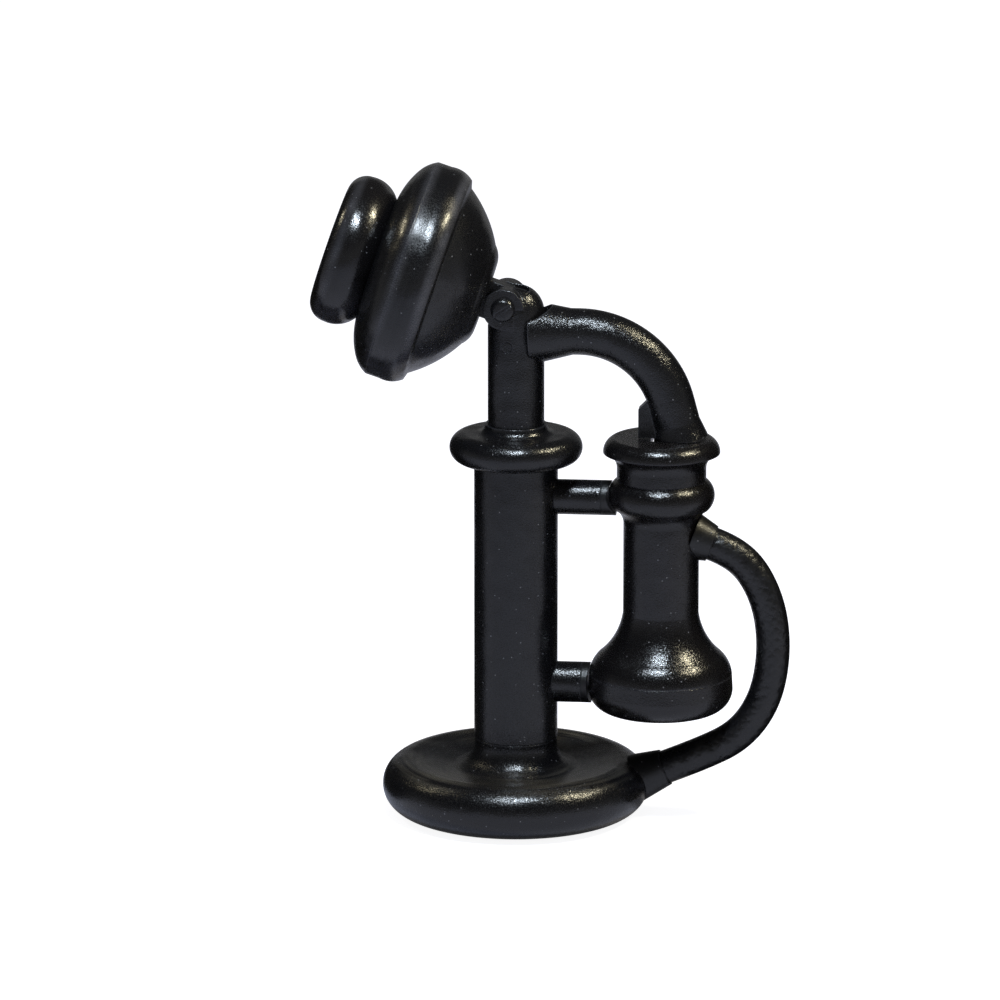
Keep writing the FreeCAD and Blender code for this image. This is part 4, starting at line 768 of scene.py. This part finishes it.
class TELEPHONE_OT_workings(bpy.types.Operator):
    """Finish the metal and insulating pieces inside"""

    bl_idname = "telephone.workings"
    bl_label = "Workings"

    def execute(self, context):
        colours = context.scene.telephone_colours
        # Rolled mild steel: grey, with a soft even shine
        steel = metal("rolled_mild_steel", colours.steel, roughness=0.38, grain_width=0.5)
        dress(steel, "base_plate", "base_plate_screws", "receiver_diaphragm", "receiver_magnet",
              "pole_pieces", "button_bridge", "bridge_screws", "transmitter_bolt")
        # Turned brass: yellow, bright where it was cut
        brass = metal("turned_brass", colours.brass, roughness=0.28, grain_width=0.4)
        dress(brass, "terminal_screws", "contact_ring", "contact_springs", "carbon_button",
              "receiver_terminals", "stem_nut", "spring_screws")
        # Rolled aluminium sheet: pale, thin and bright
        bright = metal("rolled_aluminium", colours.aluminium, roughness=0.25, grain_width=0.6)
        dress(bright, "transmitter_diaphragm")
        # Vulcanised fibre: red-brown board with a mottled, waxy surface
        fibre = grained_finish("vulcanised_fibre", colours.fibre, grain_depth=0.05, dent_depth=0.2,
                               gloss=(0.45, 0.6), wear=0.2)
        dress(fibre, "terminal_block", "spring_block", "plunger_guide", "plunger_rod")
        # Silk covered wire: dull green turns
        silk = grained_finish("silk_covered_wire", colours.silk, grain_depth=0.1, dent_depth=0.2,
                              gloss=(0.6, 0.75), wear=0.0)
        dress(silk, "pole_coils")
        return {"FINISHED"}


class TELEPHONE_OT_stage(bpy.types.Operator):
    """Set the floor, lamps, world and camera"""

    bl_idname = "telephone.stage"
    bl_label = "Studio"

    def sheet_at(self, name, width, depth, place, material):
        """A flat sheet of studio board."""
        shape = bmesh.new()
        bmesh.ops.create_grid(shape, x_segments=1, y_segments=1, size=0.5)
        bmesh.ops.scale(shape, vec=(width, depth, 1.0), verts=shape.verts)
        bmesh.ops.transform(shape, matrix=place, verts=shape.verts)
        mesh = bpy.data.meshes.new(name)
        shape.to_mesh(mesh)
        shape.free()
        mesh.materials.append(material)
        board = bpy.data.objects.new(name, mesh)
        bpy.context.scene.collection.objects.link(board)
        return board

    def rays(self, tree):
        """Which rays come from the camera, and which from a mirrored or clear surface."""
        ray = add(tree, "ShaderNodeLightPath")
        mirrored = add(tree, "ShaderNodeMath", {"operation": "MAXIMUM"},
                       {0: ray.outputs["Is Glossy Ray"], 1: ray.outputs["Is Transmission Ray"]})
        return ray, mirrored

    def paper(self):
        """Seamless white paper: white to the eye, with the telephone's faint shadow kept on it."""
        colours = bpy.context.scene.telephone_colours
        material = bpy.data.materials.new("seamless_paper")
        material.use_nodes = True
        tree = material.node_tree
        tree.nodes.clear()
        ray, mirrored = self.rays(tree)
        fibre = add(tree, "ShaderNodeTexNoise", {"Scale": per(PAPER_FIBRE * MM)},
                    {"Vector": add(tree, "ShaderNodeTexCoord").outputs["Object"]})
        rough = add(tree, "ShaderNodeBump", {"Strength": 0.2, "Distance": PAPER_DEPTH * MM},
                    {"Height": fibre.outputs[0]})
        matt = add(tree, "ShaderNodeBsdfDiffuse", {"Color": colours.paper}, {"Normal": rough.outputs[0]})
        soft = add(tree, "ShaderNodeMath", {"operation": "MULTIPLY", 1: FLOOR_MIRRORED},
                   {0: mirrored.outputs[0]})
        seen = add(tree, "ShaderNodeMath", {"operation": "MULTIPLY_ADD", 1: FLOOR_SEEN},
                   {0: ray.outputs["Is Camera Ray"], 2: soft.outputs[0]})
        glow = add(tree, "ShaderNodeEmission", links={"Strength": seen.outputs[0]})
        both = add(tree, "ShaderNodeAddShader", links={0: matt.outputs[0], 1: glow.outputs[0]})
        add(tree, "ShaderNodeOutputMaterial", links={"Surface": both.outputs[0]})
        return material

    def black_card(self):
        """Black studio card: it only puts dark bands into the shine of the round pieces."""
        return new_finish("black_studio_card", Base_Color=linear("#020202"), Roughness=1.0)[0]

    def light_world(self):
        """White behind the telephone, and a dim studio above it."""
        world = bpy.data.worlds.new("studio")
        world.use_nodes = True
        tree = world.node_tree
        tree.nodes.clear()
        ray, mirrored = self.rays(tree)
        up = add(tree, "ShaderNodeSeparateXYZ",
                 links={0: add(tree, "ShaderNodeTexCoord").outputs["Generated"]})
        level = add(tree, "ShaderNodeMapRange",
                    {"From Min": SKY_BAND[0], "From Max": SKY_BAND[1], "To Min": SKY_MIRRORED[0],
                     "To Max": SKY_MIRRORED[1]},
                    {"Value": up.outputs["Z"]})
        dim = add(tree, "ShaderNodeMix", {"data_type": "FLOAT", 2: SKY_LIGHT},
                  {0: mirrored.outputs[0], 3: level.outputs[0]})
        shown = add(tree, "ShaderNodeMix", {"data_type": "FLOAT", 3: 1.0},
                    {0: ray.outputs["Is Camera Ray"], 2: dim.outputs[0]})
        sky = add(tree, "ShaderNodeBackground", {"Color": (1.0, 1.0, 1.0, 1.0)},
                  {"Strength": shown.outputs[0]})
        add(tree, "ShaderNodeOutputWorld", links={"Surface": sky.outputs[0]})
        bpy.context.scene.world = world

    def lamp(self, name, watts, hex_colour, turn, rise, distance):
        """A square soft lamp that points at the telephone from this side and height."""
        light = bpy.data.lights.new(name, "AREA")
        light.energy = watts
        light.size = LAMP_WIDTH
        light.color = linear(hex_colour)[:3]
        back = looking_back(math.radians(turn), math.radians(rise))
        lamp = bpy.data.objects.new(name, light)
        lamp.location = Vector(LAMP_AIM) + back * distance
        lamp.rotation_mode = "QUATERNION"
        lamp.rotation_quaternion = (-back).to_track_quat("-Z", "Y")
        bpy.context.scene.collection.objects.link(lamp)

    def execute(self, context):
        scene = context.scene
        stage = scene.telephone_stage
        scene.view_settings.view_transform = "Standard"
        self.light_world()
        self.sheet_at("floor", FLOOR_WIDTH, FLOOR_WIDTH, Matrix.Translation(FLOOR_PLACE), self.paper())
        card = self.black_card()
        for side, mirror in (("left", -1.0), ("right", 1.0)):
            for name, width, depth, (across, behind, above), tilt in CARDS:
                place = Matrix.Translation((across * mirror, behind, above))
                board = self.sheet_at(name + "_" + side, width, depth,
                                      place @ Matrix.Rotation(math.radians(tilt), 4, "Y"), card)
                board.visible_camera = False
                board.visible_shadow = False
                board.visible_diffuse = False
        for name, power, share, hex_colour, turn, rise, distance in LAMPS:
            self.lamp(name, getattr(stage, power) * share, hex_colour, turn, rise, distance)
        back = looking_back(stage.turn, stage.rise)
        facing = (-back).to_track_quat("-Z", "Y")
        eye = bpy.data.cameras.new("photograph_view")
        eye.lens = stage.lens
        eye.sensor_width = SENSOR_WIDTH
        camera = bpy.data.objects.new("photograph_view", eye)
        camera.rotation_mode = "QUATERNION"
        camera.rotation_quaternion = facing
        middle = Vector(VIEW_MIDDLE) + facing @ Vector(FRAME_SHIFT)
        camera.location = middle + back * stage.distance
        eye.clip_end = VIEW_END
        scene.collection.objects.link(camera)
        scene.camera = camera
        return {"FINISHED"}


def looking_back(turn, rise):
    """The direction from the telephone to a viewer at this turn and rise."""
    return Vector((math.sin(turn) * math.cos(rise), -math.cos(turn) * math.cos(rise), math.sin(rise)))


class TELEPHONE_PT_panel(bpy.types.Panel):
    """Settings and steps of the telephone"""

    bl_idname = "TELEPHONE_PT_panel"
    bl_label = "Telephone"
    bl_space_type = "VIEW_3D"
    bl_region_type = "UI"
    bl_category = "Telephone"

    def draw(self, context):
        for group in (context.scene.telephone_colours, context.scene.telephone_sizes,
                      context.scene.telephone_stage):
            for name in group.__annotations__:
                self.layout.prop(group, name)
        for step in STEPS:
            self.layout.operator(step.bl_idname)


GROUPS = {
    "telephone_colours": TelephoneColours,
    "telephone_sizes": TelephoneSizes,
    "telephone_stage": TelephoneStage,
}
STEPS = (
    TELEPHONE_OT_stage,
    TELEPHONE_OT_cord,
    TELEPHONE_OT_castings,
    TELEPHONE_OT_transmitter,
    TELEPHONE_OT_receiver,
    TELEPHONE_OT_bumpers,
    TELEPHONE_OT_felt,
    TELEPHONE_OT_workings,
    TELEPHONE_OT_fasteners,
)


def register():
    """Add the settings, steps and panel."""
    for made in (*GROUPS.values(), *STEPS, TELEPHONE_PT_panel):
        bpy.utils.register_class(made)
    for name, group in GROUPS.items():
        setattr(bpy.types.Scene, name, bpy.props.PointerProperty(type=group))


def unregister():
    """Take the settings, steps and panel away."""
    for name in GROUPS:
        delattr(bpy.types.Scene, name)
    for made in reversed((*GROUPS.values(), *STEPS, TELEPHONE_PT_panel)):
        bpy.utils.unregister_class(made)


def main():
    """Dress the telephone."""
    register()
    bpy.ops.telephone.stage()
    bpy.ops.telephone.cord()
    bpy.ops.telephone.castings()
    bpy.ops.telephone.transmitter()
    bpy.ops.telephone.receiver()
    bpy.ops.telephone.bumpers()
    bpy.ops.telephone.felt()
    bpy.ops.telephone.workings()
    bpy.ops.telephone.fasteners()


if __name__ == "__main__":
    main()
